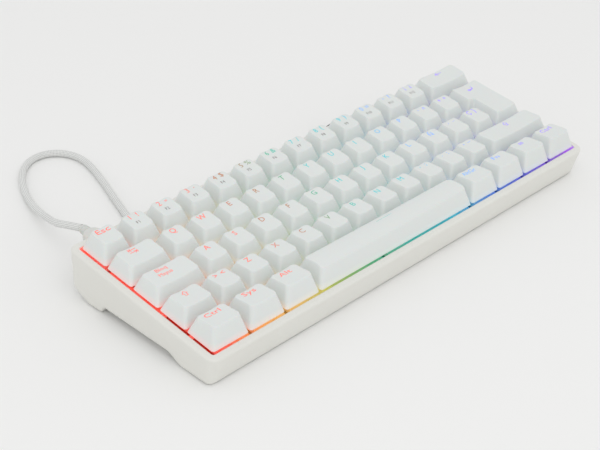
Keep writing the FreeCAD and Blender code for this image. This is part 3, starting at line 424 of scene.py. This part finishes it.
top_outline = half_outline(OUTER, OUTER_CORNER)
top_outline += [(GRID_U - u, v) for u, v in reversed(top_outline)]
wall_depth = []
for u, v in top_outline:
    lean = DRAFT if v < GRID_V / 2 else -DRAFT
    wall_depth.append(depth_to(underside, u, v, lean * min(1, abs(v - GRID_V / 2) / (GRID_V / 2))))
mean = sum(wall_depth) / len(wall_depth)
rings = []
for i in range(5):
    angle = math.pi / 2 * i / 4
    inset, depth = FOOT_ROUND * (1 - math.sin(angle)), FOOT_ROUND * (1 - math.cos(angle))
    rings.append(ring(OUTER - DRAFT * (mean - depth) - inset, OUTER_CORNER - 1.5 - inset,
                      lambda i, u, v: depth_to(underside, u, v) - depth))
for share in (0.85, 0.6, 0.35, 0.15):
    rings.append(ring(OUTER - DRAFT * share * (mean - FOOT_ROUND), OUTER_CORNER - 1.5 * share,
                      lambda i, u, v: RIM_ROUND + share * (wall_depth[i] - FOOT_ROUND - RIM_ROUND)))
for i in range(5):
    angle = math.pi / 2 * i / 4
    inset, depth = RIM_ROUND * (1 - math.cos(angle)), RIM_ROUND * (1 - math.sin(angle))
    rings.append(ring(OUTER - inset, OUTER_CORNER - inset, lambda i, u, v: depth))
for margin, depth in ((OUTER - RIM_ROUND - 0.25, 0), (RIM_GAP + 0.65, 0), (RIM_GAP + 0.4, 0),
                      (RIM_GAP + 0.12, 0.12), (RIM_GAP, 0.4), (RIM_GAP, 1.0), (RIM_GAP, 5.0)):
    corner = INNER_CORNER + (OUTER_CORNER - INNER_CORNER) * (margin - RIM_GAP) / RIM_WIDTH
    rings.append(ring(margin, corner, lambda i, u, v: depth))
# From this ring of the inner wall down, and on the floor inside, the tray gets the painted lamp glow.
PAINTED_GLOW_FROM = len(rings) - 3
rings.append(ring(RIM_GAP, INNER_CORNER, lambda i, u, v: depth_to(tray_floor, u, v)))
count = len(rings[0])
tray_vertices = [point for one in rings for point in one]
tray_faces, tray_painted_glow_flags = [], []
for r in range(len(rings) - 1):
    for i in range(count):
        after = (i + 1) % count
        tray_faces.append((r * count + i, r * count + after, (r + 1) * count + after, (r + 1) * count + i))
        tray_painted_glow_flags.append(1 if r >= PAINTED_GLOW_FROM else 0)
for start, finish in ((0, 0), ((len(rings) - 1) * count, 1)):
    for i in range(count // 2 - 1):
        left_a, left_b, right_a, right_b = i, i + 1, count - 1 - i, count - 2 - i
        tray_faces.append(tuple(start + k for k in (left_a, left_b, right_b, right_a)))
        tray_painted_glow_flags.append(finish)


def outward_faces(thing):
    """Turns every face of a closed mesh to look outward."""
    mesh = bmesh.new()
    mesh.from_mesh(thing.data)
    bmesh.ops.recalc_face_normals(mesh, faces=mesh.faces)
    mesh.to_mesh(thing.data)
    mesh.free()


# The lamps' colours from left to right: the LED lenses' own light, and the colour of the painted lamp glow on
# the tray, caps, plate, switches, stabilisers and board.
GLOW = [(0.0, "#E0261A"), (0.045, "#E23A1C"), (0.12, "#E08A34"), (0.22, "#C9A048"), (0.31, "#8C9C44"),
        (0.40, "#2F8D62"), (0.52, "#1B9088"), (0.64, "#188CA6"), (0.72, "#1C64B6"), (0.83, "#2A3DB4"),
        (0.92, "#5A32B4"), (1.0, "#7A36B2")]


def across_keys(tree, stops):
    """A colour that changes from the left edge of the keys to the right edge."""
    where = add(tree, "TexCoord")
    split = add(tree, "SeparateXYZ", [(0, where.outputs["Object"])])
    share = add(tree, "MapRange", [(0, split.outputs[0])])
    share.inputs[1].default_value = -GRID_U / 2000
    share.inputs[2].default_value = GRID_U / 2000
    ramp = add(tree, "ValToRGB", [(0, share.outputs[0])])
    elements = ramp.color_ramp.elements
    while len(elements) < len(stops):
        elements.new(0.5)
    for element, (position, _) in zip(elements, stops):
        element.position = position
    for element, (position, hex_colour) in zip(elements, stops):
        element.color = linear(hex_colour)
    return ramp.outputs[0]


def moulded_abs():
    """Warm white ABS from a spark-eroded mould: an even satin with a grain of about 0.3 mm and
    very slight clouding where the melt flowed."""
    material, tree, shader = finish_of("moulded_white_abs", "#E6E5DF", 0.42, Coat_Weight=0.06,
                                       Coat_Roughness=0.35)
    where = grain(tree, shader, 0.3, 0.22, 0.04)
    cloud = add(tree, "TexNoise", [("Vector", where.outputs["Object"])], Scale=22.0, Detail=2.0)
    ramp = add(tree, "ValToRGB", [(0, cloud.outputs[0])])
    ramp.color_ramp.elements[0].color = linear("#E3E2DC")
    ramp.color_ramp.elements[1].color = linear("#E8E8E2")
    tree.links.new(ramp.outputs[0], shader.inputs["Base Color"])
    return material


def painted_glow_abs():
    """The same white ABS inside the tray, with the lamps' light painted on it as a glow in their colours."""
    material, tree, shader = finish_of("white_abs_painted_lamp_glow", "#D8D8D2", 0.5, Emission_Strength=0.9)
    grain(tree, shader, 0.3, 0.22, 0.04)
    # Painted lamp light: emission in the lamps' colours, changing from left to right.
    tree.links.new(across_keys(tree, GLOW), shader.inputs["Emission Color"])
    return material


tray = piece("case_tray_moulding", tray_vertices, tray_faces, moulded_abs(), painted_glow_abs(),
             face_materials=tray_painted_glow_flags)
outward_faces(tray)
port_cut = piece("port_cut", *loft([(GRID_V - 3, 5.6, 2.75, 3.2), (GRID_V + 12, 5.6, 2.75, 3.2)], 32,
                                   lambda a, d, h: on_plane(PORT_U + a, d, PORT_W + h)))
outward_faces(port_cut)
opening = tray.modifiers.new("port", "BOOLEAN")
opening.object = port_cut
opening.solver = "EXACT"
bpy.context.view_layer.update()
cut_tray = bpy.data.meshes.new_from_object(tray.evaluated_get(bpy.context.evaluated_depsgraph_get()))
tray.modifiers.clear()
tray.data = cut_tray
bpy.data.objects.remove(port_cut)
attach(tray, "case")
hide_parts("case_tray")

# ---------------------------------------------------------------- keycaps
# Two-shot moulded ABS: white, finely textured caps in five sculpted row profiles, with a
# cylindrical dish, softened edges and 1.4 mm walls. The letters are the clear second shot that
# comes through the white, so lamps light them from below; that light is painted on as a glow in
# the letters and on the caps' lower sides. Each cap is pressed on its switch.
CAP_GAP, CAP_LIFT, SIDE_INSET, WALL, ROOF, DISH = 0.45, 0.3, 3.1, 1.4, 1.5, 0.55
# Front inset and height, rear inset and height of each row, counted from the front.
ROWS = {4: (4.9, 9.6, 2.45, 10.2), 3: (4.7, 8.4, 2.25, 8.8), 2: (4.5, 8.6, 2.15, 8.3),
        1: (4.3, 9.6, 2.25, 8.1), 0: (4.3, 11.0, 2.25, 8.9)}
SKIRT_CORNER, TOP_CORNER, ENTER_CORNER = 1.5, 2.4, 1.5
EDGE_SOFTNESS, EDGE_STEPS, WALL_STEPS = 0.9, 5, 4
ARC_STEPS, SIDE_STEPS = 6, 10
CROWN_HEIGHT, CROWN_RADIUS, ENTER_HEIGHT, ENTER_DISH_RADIUS = 10.6, 18.0, 8.1, 70.0


def cap_outline(corners, radius):
    """A closed outline with rounded corners; corners run anticlockwise and may turn inward."""
    points, total = [], len(corners)
    per_side = {4: [SIDE_STEPS] * 4, 6: [5, 8, 5, 4, 2, 4]}[total]
    for n, corner in enumerate(corners):
        here, before, after = (Vector(corners[k % total]) for k in (n, n - 1, n + 1))
        back, on = (before - here).normalized(), (after - here).normalized()
        centre = here + radius * (back + on)
        for i in range(ARC_STEPS + 1):
            angle = math.pi / 2 * i / ARC_STEPS
            points.append(centre - radius * (on * math.cos(angle) + back * math.sin(angle)))
        start, end = here + on * radius, after - on * radius
        steps = per_side[n]
        points += [start.lerp(end, i / steps) for i in range(1, steps)]
    return points


def surface_level(kind, line, x, y, half_width, depth):
    """The height of a cap's top above the rim plane, at x and y from the cap's centre."""
    if kind == "space":
        return CROWN_HEIGHT - CROWN_RADIUS + math.sqrt(CROWN_RADIUS ** 2 - (y + 0.5) ** 2)
    if kind == "enter":
        return ENTER_HEIGHT + (x + 1.2) ** 2 / (2 * ENTER_DISH_RADIUS)
    front, front_rise, rear, rear_rise = ROWS[line]
    low, high = -depth / 2 + front, depth / 2 - rear
    level = front_rise + (rear_rise - front_rise) * (y - low) / (high - low)
    return level - DISH * max(0.0, 1 - (x / half_width) ** 2)


def follow_edge(points, heights, foot, foot_level):
    """Rings of a cap, from its softened top edge down the drafted walls to the skirt."""
    rings, softening = [], []
    for top, level, low in zip(points, heights, foot):
        outward = low - top
        drop = level - foot_level
        lean = math.atan2(outward.length, drop)
        tangent = EDGE_SOFTNESS * math.cos(lean) / (1 + math.sin(lean))
        softening.append((outward.normalized(), lean, tangent))
    for i in range(EDGE_STEPS + 1):
        row = []
        for (way, lean, tangent), top, level in zip(softening, points, heights):
            angle = (math.pi / 2 - lean) * i / EDGE_STEPS
            at = top + way * (-tangent + EDGE_SOFTNESS * math.sin(angle))
            row.append((at.x, at.y, level - EDGE_SOFTNESS * (1 - math.cos(angle))))
        rings.append(row)
    last = rings[-1]
    for i in range(1, WALL_STEPS + 1):
        share = i / WALL_STEPS
        rings.append([(x + (low.x - x) * share, y + (low.y - y) * share, z + (foot_level - z) * share)
                      for (x, y, z), low in zip(last, foot)])
    return rings


def ceiling_of(line):
    """The level of the ceiling inside a row's caps."""
    return min(ROWS[line][1::2]) - DISH - ROOF


def cap_mesh(kind, line, width):
    """The points and faces of one keycap, round its own centre. The last faces are its inside."""
    front, front_rise, rear, rear_rise = ROWS[line]
    span = width * KEY_PITCH

    def corners(share, inward):
        """The cap's outline at a share of its height, 0 at the skirt and 1 at the top."""
        gap = CAP_GAP + inward
        side = SIDE_INSET * share
        fore, aft = (front - CAP_GAP) * share, (rear - CAP_GAP) * share
        if kind == "enter":
            left_up, left_low = -0.875 * KEY_PITCH + gap + side, -0.625 * KEY_PITCH + gap + side
            right_side, mid = 0.625 * KEY_PITCH - gap - side, gap + SIDE_INSET * share
            bottom, top = -KEY_PITCH + gap + fore, KEY_PITCH - gap - aft
            return [(left_low, bottom), (right_side, bottom), (right_side, top), (left_up, top),
                    (left_up, mid), (left_low, mid)]
        half = span / 2 - gap - side
        low, up = -KEY_PITCH / 2 + gap + fore, KEY_PITCH / 2 - gap - aft
        return [(-half, low), (half, low), (half, up), (-half, up)]

    half_top = span / 2 - CAP_GAP - SIDE_INSET
    top = cap_outline(corners(1, 0), ENTER_CORNER if kind == "enter" else TOP_CORNER)
    foot = cap_outline(corners(0, 0), SKIRT_CORNER)
    heights = [surface_level(kind, line, q.x, q.y, half_top, KEY_PITCH) for q in top]
    rings = follow_edge(top, heights, foot, CAP_LIFT)
    ceiling = ceiling_of(line)
    inner_foot = cap_outline(corners(0, WALL), 0.6)
    climb = (ceiling - CAP_LIFT) / (max(front_rise, rear_rise) - CAP_LIFT)
    inner_top = cap_outline(corners(climb, WALL), 0.6)
    rings.append([(q.x, q.y, CAP_LIFT) for q in inner_foot])
    rings.append([(q.x, q.y, ceiling) for q in inner_top])
    count = len(top)
    vertices = [Vector(q) for row in rings for q in row]
    faces = []
    for r in range(len(rings) - 1):
        for i in range(count):
            after = (i + 1) % count
            faces.append((r * count + i, (r + 1) * count + i, (r + 1) * count + after, r * count + after))
    centre = Vector((sum(q[0] for q in rings[0]) / count, sum(q[1] for q in rings[0]) / count))
    previous = list(range(count))
    for share in (0.8, 0.6, 0.4, 0.2):
        start = len(vertices)
        for x, y, _ in rings[0]:
            at = centre + (Vector((x, y)) - centre) * share
            vertices.append(Vector((at.x, at.y, surface_level(kind, line, at.x, at.y, half_top, KEY_PITCH))))
        ring_now = list(range(start, start + count))
        faces += [(previous[i], previous[(i + 1) % count], ring_now[(i + 1) % count], ring_now[i])
                  for i in range(count)]
        previous = ring_now
    start = len(vertices)
    vertices.append(Vector((centre.x, centre.y,
                            surface_level(kind, line, centre.x, centre.y, half_top, KEY_PITCH))))
    faces += [(previous[i], previous[(i + 1) % count], start) for i in range(count)]
    last = (len(rings) - 1) * count
    faces.append(tuple(range(last, last + count)))
    return vertices, faces, half_top


LEGEND_PAINTED_GLOW = [(0.0, "#F4736A"), (0.22, "#F0786A"), (0.27, "#B87A5E"),
                  (0.35, "#B0805E"), (0.39, "#6AA67E"), (0.43, "#58B498"),
                  (0.47, "#45C3C3"), (0.635, "#45C0CC"), (0.69, "#7FB2F0"),
                  (0.775, "#82ACF2"), (0.85, "#9F8CF5"), (1.0, "#A284F2")]


PAINTED_GLOW_REACH, PAINTED_GLOW_ON_CAPS = 3.5, 0.22


def cap_abs():
    """The caps' white ABS, a little cooler than the tray's, with a finer mould texture, and a painted glow of
    the lamps' colours on the caps' lower sides that fades out 3.5 mm above the rim.
    """
    material, tree, shader = finish_of("textured_white_cap_abs_painted_lamp_glow", "#E2E6E4", 0.48, Coat_Weight=0.05,
                                       Coat_Roughness=0.4, Subsurface_Weight=0.06, Subsurface_Scale=0.001)
    where = grain(tree, shader, 0.25, 0.2, 0.03)
    split = add(tree, "SeparateXYZ", [(0, where.outputs["Object"])])
    back = add(tree, "Math", [(0, split.outputs[1])], operation="MULTIPLY")
    back.inputs[1].default_value = -math.sin(TILT)
    up = add(tree, "Math", [(0, split.outputs[2])], operation="MULTIPLY")
    up.inputs[1].default_value = math.cos(TILT)
    rise = add(tree, "Math", [(0, back.outputs[0]), (1, up.outputs[0])], operation="ADD")
    rim = (18.1 * math.cos(TILT) - FRONT * math.sin(TILT)) / 1000
    # Painted lamp glow on the caps' lower sides: emission at strength 0.22 up to the rim plane, fading to
    # none 3.5 mm above it.
    fade = add(tree, "MapRange", [(0, rise.outputs[0])])
    for k, value in enumerate((rim, rim + PAINTED_GLOW_REACH / 1000, PAINTED_GLOW_ON_CAPS, 0.0), start=1):
        fade.inputs[k].default_value = value
    tree.links.new(across_keys(tree, GLOW), shader.inputs["Emission Color"])
    tree.links.new(fade.outputs[0], shader.inputs["Emission Strength"])
    return material


def painted_glow_legend():
    """The clear second shot of a legend, with the light of its lamp below painted on it as a glow and as its
    colour.
    """
    material, tree, shader = finish_of("clear_abs_legend_painted_lamp_glow", "#9A9A98", 0.4, Emission_Strength=0.3)
    # Painted lamp light: the lamps' colours from left to right, used as the legend's glow and as its colour.
    colour = across_keys(tree, LEGEND_PAINTED_GLOW)
    tree.links.new(colour, shader.inputs["Emission Color"])
    tree.links.new(colour, shader.inputs["Base Color"])
    return material


def dark_legend():
    """A legend that its lamp doesn't reach: grey, slightly see-through plastic."""
    material, tree, shader = finish_of("unlit_clear_abs_legend", "#8F8B86", 0.45)
    return material


CAP_WHITE, LIT, UNLIT = cap_abs(), painted_glow_legend(), dark_legend()
slider_nylon, tree, shader = finish_of("slider_pom", "#C9C8C2", 0.35)
grain(tree, shader, 0.4, 0.15, 0.02)
GLYPH_CACHE = {}


LEGEND_DEPTH = 0.05


def glyph_mesh(text, cap_height, width=None):
    """The flat mesh of a legend, centred on the origin, in millimetres."""
    if (text, cap_height, width) not in GLYPH_CACHE:
        curve = bpy.data.curves.new("legend", "FONT")
        curve.body, curve.size, curve.resolution_u = text, cap_height / 0.69, 2
        curve.extrude = LEGEND_DEPTH
        curve.align_x, curve.fill_mode = "CENTER", "BOTH"
        shape = bpy.data.objects.new("legend", curve)
        bpy.context.scene.collection.objects.link(shape)
        bpy.context.view_layer.update()
        flat = bpy.data.meshes.new_from_object(shape)
        points = [v.co.copy() for v in flat.vertices]
        polygons = [tuple(f.vertices) for f in flat.polygons]
        bpy.data.objects.remove(shape)
        low, high = min(q.x for q in points), max(q.x for q in points)
        bottom, top = min(q.y for q in points), max(q.y for q in points)
        middle = (low + high) / 2
        scale = width / (high - low) if width else 1.0
        GLYPH_CACHE[(text, cap_height, width)] = (
            [Vector(((q.x - middle) * scale, q.y - (bottom + top) / 2, q.z)) for q in points], polygons)
    return GLYPH_CACHE[(text, cap_height, width)]




WIDEST_STEM, SAME_POINT = 0.012, 1e-6


def sliders_of(node):
    """The sliders and stabiliser stems of a node: its loose parts narrower than a keycap."""
    mesh = bmesh.new()
    mesh.from_mesh(node.data)
    bmesh.ops.remove_doubles(mesh, verts=mesh.verts, dist=SAME_POINT)
    seen, points, polygons = set(), [], []
    for first in mesh.verts:
        if first in seen:
            continue
        island, queue = [], [first]
        seen.add(first)
        while queue:
            at = queue.pop()
            island.append(at)
            for edge in at.link_edges:
                other = edge.other_vert(at)
                if other not in seen:
                    seen.add(other)
                    queue.append(other)
        xs = [v.co.x for v in island]
        if max(xs) - min(xs) > WIDEST_STEM:
            continue
        index = {v: len(points) + i for i, v in enumerate(island)}
        points += [node.matrix_world @ v.co for v in island]
        around = {face for v in island for face in v.link_faces}
        polygons += [tuple(index[v] for v in face.verts) for face in around]
    mesh.free()
    return points, sorted(polygons)


POST_FOOT, POST_RADIUS = 0.9, 2.75


def build_caps(name, keys):
    """One object for a node: each key is (column, row, width, kind, legends)."""
    vertices, faces, finishes = [], [], []
    for column, line, width, kind, legends in keys:
        cap, cap_faces, half_top = cap_mesh(kind, line, width)
        u, v = (column + width / 2) * KEY_PITCH, (line + 0.5) * KEY_PITCH
        if kind == "enter":
            u, v = 14.375 * KEY_PITCH, 3 * KEY_PITCH
        start = len(vertices)
        vertices += [on_plane(u + q.x, v + q.y, q.z) for q in cap]
        faces += [tuple(start + k for k in face) for face in cap_faces]
        finishes += [0] * len(cap_faces)
        start = len(vertices)
        post, post_faces = loft([(POST_FOOT, POST_RADIUS, POST_RADIUS, 2),
                                 (ceiling_of(line) + 0.3, POST_RADIUS, POST_RADIUS, 2)], 24,
                                lambda a, d, h: on_plane(u + a, v + h, d))
        vertices += post
        faces += [tuple(start + k for k in face) for face in post_faces]
        finishes += [0] * len(post_faces)
        for text, at_x, at_y, cap_height, wide, finish in legends:
            points, polygons = glyph_mesh(text, cap_height, wide)
            start = len(vertices)
            for q in points:
                x, y = q.x + at_x, q.y + at_y
                level = surface_level(kind, line, x, y, half_top, KEY_PITCH) + q.z
                vertices.append(on_plane(u + x, v + y, level))
            faces += [tuple(start + k for k in face) for face in polygons]
            finishes += [finish] * len(polygons)
    points, polygons = sliders_of(frame["nodes"][name])
    start = len(vertices)
    vertices += points
    faces += [tuple(start + k for k in face) for face in polygons]
    finishes += [3] * len(polygons)
    made = piece(f"{name}_look", vertices, faces, CAP_WHITE, LIT, UNLIT, slider_nylon,
                 face_materials=finishes)
    outward_faces(made)
    made.data.set_sharp_from_angle(angle=math.radians(40))
    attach(made, name)
    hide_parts(name)


def letter(text):
    """A single legend: (text, x, y, cap height, width or None, finish)."""
    return [(text, 0, 4.5, 3.3, None, 1)]


def pair(main, shifted, below=None):
    """A key's own and shifted legends side by side, with an unlit one below."""
    marks = [(main, -1.9, 4.9, 3.2, None, 1), (shifted, 2.7, 4.9, 3.2, None, 1)]
    return marks + ([(below, -0.4, 0.0, 1.9, None, 2)] if below else [])


for line, first, letters in ((3, 1.5, "qwertyuiop"), (2, 1.75, "asdfghjkl"), (1, 2.25, "zxcvbnm")):
    for i, text in enumerate(letters):
        build_caps(f"key_{text}", [(first + i, line, 1, "key", letter(text.upper()))])
build_caps("key_n_tilde", [(10.75, 2, 1, "key", letter("\u00d1"))])
build_caps("key_escape", [(0, 4, 1, "key", [("Esc", 0, 4.7, 3.2, 8.2, 1)])])
build_caps("key_backspace", [(13, 4, 2, "key", [("\u2190", 0, 4.6, 2.6, 6.0, 1)])])
build_caps("key_tab", [(0, 3, 1.5, "key", [("\u21b9", -2, 4.4, 3.0, 4.6, 1)])])
lock_words = [("Bloq", -2.5, 5.0, 2.2, 6.6, 1), ("Mayus", -2.5, 1.4, 2.2, 8.0, 1)]
build_caps("key_caps_lock", [(0, 2, 1.75, "key", lock_words)])
build_caps("key_left_shift", [(0, 1, 1.25, "key", [("\u21e7", -0.5, 4.2, 3.3, 3.6, 1)])])
build_caps("key_right_shift", [(12.25, 1, 2.75, "key", [("\u21e7", 0, 4.2, 3.3, 3.6, 1)])])
build_caps("key_space", [(3.75, 0, 6.25, "space", [("-", 0, 4.3, 0.7, 11.9, 1)])])
build_caps("key_enter", [(13.5, 2, 1.5, "enter", [("\u21b5", -2.0, 12.0, 3.4, 5.0, 1)])])
numbers = zip("1234567890'\u00a1", "!\"\u00b7$%&/()=?\u00bf", range(1, 13))
build_caps("keys_numbers", [(i, 4, 1, "key", pair(a, b, f"F{i}")) for a, b, i in numbers])
marks = [(11.5, 3, "`", "^"), (12.5, 3, "+", "*"), (11.75, 2, "\u00b4", "\u00a8"), (12.75, 2, "\u00c7", "}"),
         (1.25, 1, ">", "<"), (9.25, 1, ",", ";"), (10.25, 1, ".", ":"), (11.25, 1, "-", "_")]
build_caps("keys_punctuation", [(c, r, 1, "key", pair(a, b)) for c, r, a, b in marks])
words = [(0, "Ctrl", 9.4), (1.25, "Sys", 8.0), (2.5, "Alt", 7.6), (10, "AltGr", 10.6),
         (11.25, "Fn", 5.4), (12.5, "\u2261", 3.6), (13.75, "Ctrl", 9.4)]
build_caps("keys_modifiers", [(column, 0, 1.25, "key", [(word, -0.7, 4.5, 2.9, wide, 1)])
                              for column, word, wide in words])

# ---------------------------------------------------------------- plate, switches and electronics
# Under the caps: a white powder-coated steel plate, clear-topped switches with steel springs,
# the green board with its lamps, greased steel stabiliser wires, and black rubber feet.


def plain(name, colour, roughness, size_mm, **settings):
    """A finish with a fine grain of the given size."""
    material, tree, shader = finish_of(name, colour, roughness, **settings)
    grain(tree, shader, size_mm, 0.2, 0.03)
    return material


def glowing(name, colour, roughness, strength):
    """A finish that glows in the lamps' colour at its place across the keys: the LED lenses' own light, and
    on every other part a painted glow of the lamps' light.
    """
    material, tree, shader = finish_of(name, colour, roughness, Emission_Strength=strength)
    tree.links.new(across_keys(tree, GLOW), shader.inputs["Emission Color"])
    return material


wire_steel = plain("spring_steel_wire", "#A8A8AA", 0.3, 0.5, Metallic=1.0)
inner_finishes = {
    # Painted lamp light: the plate, switch tops and bases, stabiliser housings and board glow in the lamps'
    # colours; only the LED lenses are lamps.
    "switch_plate": glowing("powder_coated_steel_lamp_lit", "#C8C8C4", 0.5, 0.75),
    "key_leds": glowing("lit_led_lens", "#FFFFFF", 0.3, 3.0),
    "switch_tops": glowing("frosted_polycarbonate_lamp_lit", "#CFCFCC", 0.4, 0.35),
    "switch_bases": glowing("black_nylon_lamp_lit", "#202123", 0.45, 0.45),
    "switch_springs": wire_steel,
    "stabiliser_housings": glowing("white_pom_lamp_lit", "#D5D5D0", 0.4, 0.5),
    "circuit_board": glowing("green_solder_mask_lamp_lit", "#1F5A38", 0.35, 0.4),
    "controller_chip": plain("black_epoxy", "#18191B", 0.5, 0.3),
    "usb_c_receptacle": steel,
    "board_screws": plain("zinc_plated_screw", "#9C9DA0", 0.3, 0.5, Metallic=1.0),
    "rubber_feet": plain("matt_black_rubber", "#1B1B1C", 0.85, 0.6),
    "backspace_wire": wire_steel, "enter_wire": wire_steel,
    "right_shift_wire": wire_steel, "space_wire": wire_steel,
}
for name, finish in inner_finishes.items():
    frame["nodes"][name].data.materials.clear()
    frame["nodes"][name].data.materials.append(finish)

# ---------------------------------------------------------------- floor and light
floor_paper, tree, shader = finish_of("white_paper_sweep", "#F4F4F3", 0.9)
grain(tree, shader, 2.0, 0.05, 0.1)
floor = piece("floor", [(-3, -3, 0), (3, -3, 0), (3, 3, 0), (-3, 3, 0)], [(0, 1, 2, 3)], floor_paper)
world = bpy.data.worlds.new("studio")
world.use_nodes = True
world.node_tree.nodes["Background"].inputs[0].default_value = linear("#FFFFFF")
world.node_tree.nodes["Background"].inputs[1].default_value = 0.82
bpy.context.scene.world = world
softbox = bpy.data.objects.new("softbox", bpy.data.lights.new("softbox", "AREA"))
softbox.data.size, softbox.data.energy = 1.2, 4.0
softbox.location = (-0.5, -0.7, 1.3)
softbox.rotation_euler = (-softbox.location).to_track_quat("-Z", "Y").to_euler()
bpy.context.scene.collection.objects.link(softbox)
bpy.context.scene.view_settings.view_transform = "Standard"
